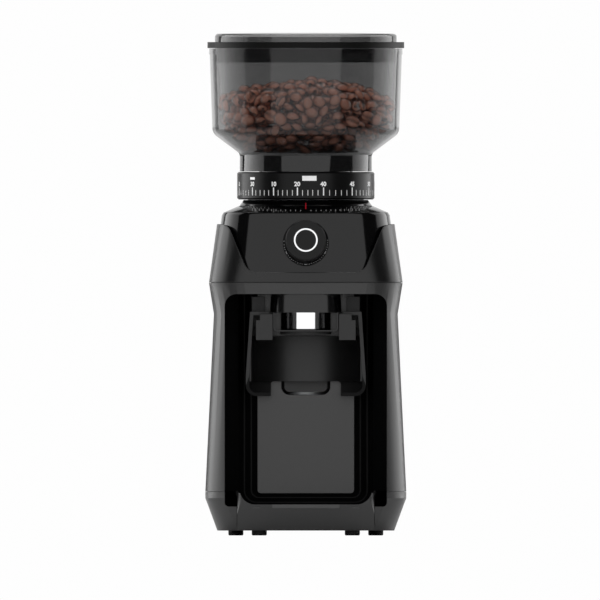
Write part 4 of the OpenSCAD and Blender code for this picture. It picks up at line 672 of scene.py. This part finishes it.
bean_long, bean_wide, bean_deep = 0.0054, 0.0047, 0.0042
belly_share, crease_depth = 0.55, 0.0011
bpy.ops.mesh.primitive_uv_sphere_add(
    segments=12, ring_count=8, radius=1.0, location=(0, 0, 0), rotation=(0, math.pi / 2, 0))
bean = bpy.context.active_object
bean.name = "coffee_bean"
settle(bean)
crease = bean.data.attributes.new("crease", "FLOAT", "POINT")
for i, corner in enumerate(bean.data.vertices):
    x, y, z = corner.co
    groove = z < -0.2 and abs(y) < 0.25 and abs(x) < 0.95
    deep = bean_deep * (belly_share if z < 0 else 1.0)
    corner.co = (x * bean_long, y * bean_wide, z * deep + (crease_depth if groove else 0))
    crease.data[i].value = 1.0 if groove else 0.0
bpy.ops.object.shade_smooth()

roast, roast_shader, roast_start = finish("roast")
roast_patch = roast_start.noise(130.0, 2.0, 0.5)
roast_grain = roast_start.noise(1400.0, 2.0, 0.6)
shade = roast_start.node("ShaderNodeAttribute", out="Fac", attribute_name="crease")
turned_away = roast_start.node("ShaderNodeLayerWeight", {"Blend": 0.5}, out="Facing")
# Painted shade: each bean is painted darker where it turns away from the camera and in its crease; the rest
# of the tone is the roast's own patchy colour.
roast_and_painted_shade = 0.7 * roast_patch + 0.3 * roast_grain + 0.62 - 1.45 * turned_away - 0.6 * shade
feed(roast_and_painted_shade.between((0.03, 0.011, 0.007), (1.0, 0.42, 0.27)), roast_shader, "Base Color")
feed(0.25 + 0.2 * roast_patch, roast_shader, "Roughness")
feed(roast_grain.bump(0.00004), roast_shader, "Normal")
tune(roast_shader, {
    "Specular IOR Level": 1.0, "Coat Weight": 1.0, "Coat IOR": 2.4, "Coat Roughness": 0.22})

bowl_low, bowl_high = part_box("hopper_bowl")
heap_axis = (bowl_low + bowl_high) / 2
floor_height, wall_foot, wall_head = 0.2885, 0.309, 0.364
floor_room, cone_gain, wall_room, wall_gain = 0.0482, 0.0202, 0.0684, 0.0020
chance = random.Random(11)


def room(height):
    """The clear radius inside the hopper at a height."""
    if height > wall_foot:
        return wall_room + wall_gain * (height - wall_foot) / (wall_head - wall_foot)
    return floor_room + cone_gain * (height - floor_height) / (wall_foot - floor_height)


def heap_top(radius):
    """The height of the heap's surface at a distance from the hopper's middle."""
    return heap_peak - heap_fall * (radius / heap_radius) ** 2


# The beans are drawn one by one and kept where none lies closer than the spacing. Only the outer
# two layers of the heap are laid, since nothing shows the ones inside.
heap_peak, heap_fall, heap_radius, spacing = 0.3472, 0.0155, 0.068, 0.0078
wall_gap, cone_gap, top_gap, floor_gap, draw_head = 0.0055, 0.0088, 0.0035, 0.004, 0.348
layers_at_wall, layers_at_top, draws = 0.016, 0.014, 90000
taken = {}
lying = []
for _ in range(draws):
    height = chance.uniform(floor_height + floor_gap, draw_head)
    around = chance.uniform(0, 2 * math.pi)
    clear = room(height) - (wall_gap if height > wall_foot + floor_gap else cone_gap)
    out = clear * math.sqrt(chance.uniform(0, 1))
    top = heap_top(out) - top_gap
    if height > top or (out < clear - layers_at_wall and height < top - layers_at_top):
        continue
    spot = Vector((heap_axis.x + out * math.cos(around), heap_axis.y + out * math.sin(around), height))
    home = tuple(int(math.floor(c / spacing)) for c in spot)
    crowd = [p for dx in (-1, 0, 1) for dy in (-1, 0, 1) for dz in (-1, 0, 1)
             for p in taken.get((home[0] + dx, home[1] + dy, home[2] + dz), [])]
    if any((spot - other).length < spacing for other in crowd):
        continue
    taken.setdefault(home, []).append(spot)
    lying.append((spot, around, out))

lean_spread, belly_up, least_size, most_size = 0.35, 0.4, 0.88, 1.08
heap = []
for spot, around, out in lying:
    against_wall = out > room(spot.z) - spacing
    outward = Vector((math.cos(around), math.sin(around), 0))
    facing = outward if against_wall else Vector((0, 0, 1))
    facing = (facing + Vector([chance.gauss(0, lean_spread) for _ in range(3)])).normalized()
    if chance.random() < belly_up:
        facing = -facing
    lean = facing.to_track_quat("Z", "Y").to_matrix().to_4x4()
    turn = lean @ Matrix.Rotation(chance.uniform(0, 2 * math.pi), 4, "Z")
    size = Matrix.Scale(chance.uniform(least_size, most_size), 4)
    one = bpy.data.objects.new("coffee_bean_copy", bean.data.copy())
    bpy.context.collection.objects.link(one)
    one.data.transform(Matrix.Translation(spot) @ turn @ size)
    heap.append(one)
bpy.data.objects.remove(bean)
beans = join(*heap)
beans.name = "coffee_beans"
beans.data.materials.clear()
beans.data.materials.append(roast)
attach(beans, "hopper")


# ---- Studio ----
# The grinder stands on a pale sheet. A broad softbox faces it, a second one hangs over it
# and a third stands behind it. A bright cloth wall is at each side, and the camera looks
# level from the front.

bpy.ops.mesh.primitive_plane_add(size=6, location=(0, 0, 0))
sheet = bpy.context.active_object
sheet.name = "studio_floor"
floor_white, floor_shader, floor_start = finish("floor_white")
weave = floor_start.noise(30.0, 2.0, 0.5)
feed(weave.between((0.80, 0.80, 0.80), (0.83, 0.83, 0.83)), floor_shader, "Base Color")
tune(floor_shader, {"Roughness": 0.8})
sheet.data.materials.append(floor_white)


def softbox(name, place, aim, width, height, radiance):
    """A soft light of a set brightness, which doesn't show itself."""
    bpy.ops.object.light_add(type="AREA", location=place)
    lamp = bpy.context.active_object
    lamp.name = name
    lamp.data.shape = "RECTANGLE"
    lamp.data.size = width
    lamp.data.size_y = height
    lamp.data.energy = radiance * math.pi * width * height
    lamp.rotation_euler = (Vector(aim) - Vector(place)).to_track_quat("-Z", "Y").to_euler()
    lamp.visible_camera = False


softbox("front_box", (0, -1.6, 0.55), (0, 0, 0.2), 3.05, 2.2, 1.25)
softbox("back_box", (0, 2.2, 0.75), (0, 0, 0.3), 3.2, 1.0, 0.9)
softbox("top_box", (0, 0.1, 1.9), (0, 0, 0.2), 1.6, 1.6, 3.4)


def side_wall(name, left, front, depth, radiance):
    """A tall cloth wall lit from behind, which is dimmer towards its front edge."""
    bpy.ops.mesh.primitive_plane_add(size=1, location=(0, 0, 0))
    wall = bpy.context.active_object
    wall.name = name
    upright = Matrix.Rotation(math.pi / 2, 4, "Y") @ Matrix.Diagonal((1.8, depth, 1, 1))
    wall.data.transform(Matrix.Translation((left, front + depth / 2, 0.5)) @ upright)
    cloth, cloth_shader, cloth_start = finish(name + "_cloth")
    back = cloth_start.along("Y").share(front, front + 0.9)
    feed(back.between((0.36, 0.36, 0.36), (1.0, 1.0, 1.0)), cloth_shader, "Emission Color")
    tune(cloth_shader, {
        "Emission Strength": radiance, "Base Color": (0, 0, 0, 1), "Specular IOR Level": 0.0})
    wall.data.materials.append(cloth)
    wall.visible_camera = False


side_wall("left_wall", -1.3, -0.30, 1.6, 3.3)
side_wall("right_wall", 1.3, -0.05, 1.6, 3.3)

# The camera sees white behind the grinder, and the grinder itself a dim room.
world = bpy.data.worlds.new("studio")
bpy.context.scene.world = world
world.use_nodes = True
sky = world.node_tree.nodes["Background"]
seen = Wire(world.node_tree).node("ShaderNodeLightPath", out="Is Camera Ray")
feed(0.05 + 0.94 * seen, sky, "Strength")
sky.inputs["Color"].default_value = (1, 1, 1, 1)

view_x, view_z, view_width = -0.00439, 0.1781, 0.4538
bpy.ops.object.camera_add(location=(view_x, -6.0, view_z), rotation=(math.pi / 2, 0, 0))
camera = bpy.context.active_object
camera.data.type = "ORTHO"
camera.data.ortho_scale = view_width
bpy.context.scene.camera = camera
bpy.context.scene.view_settings.view_transform = "Standard"
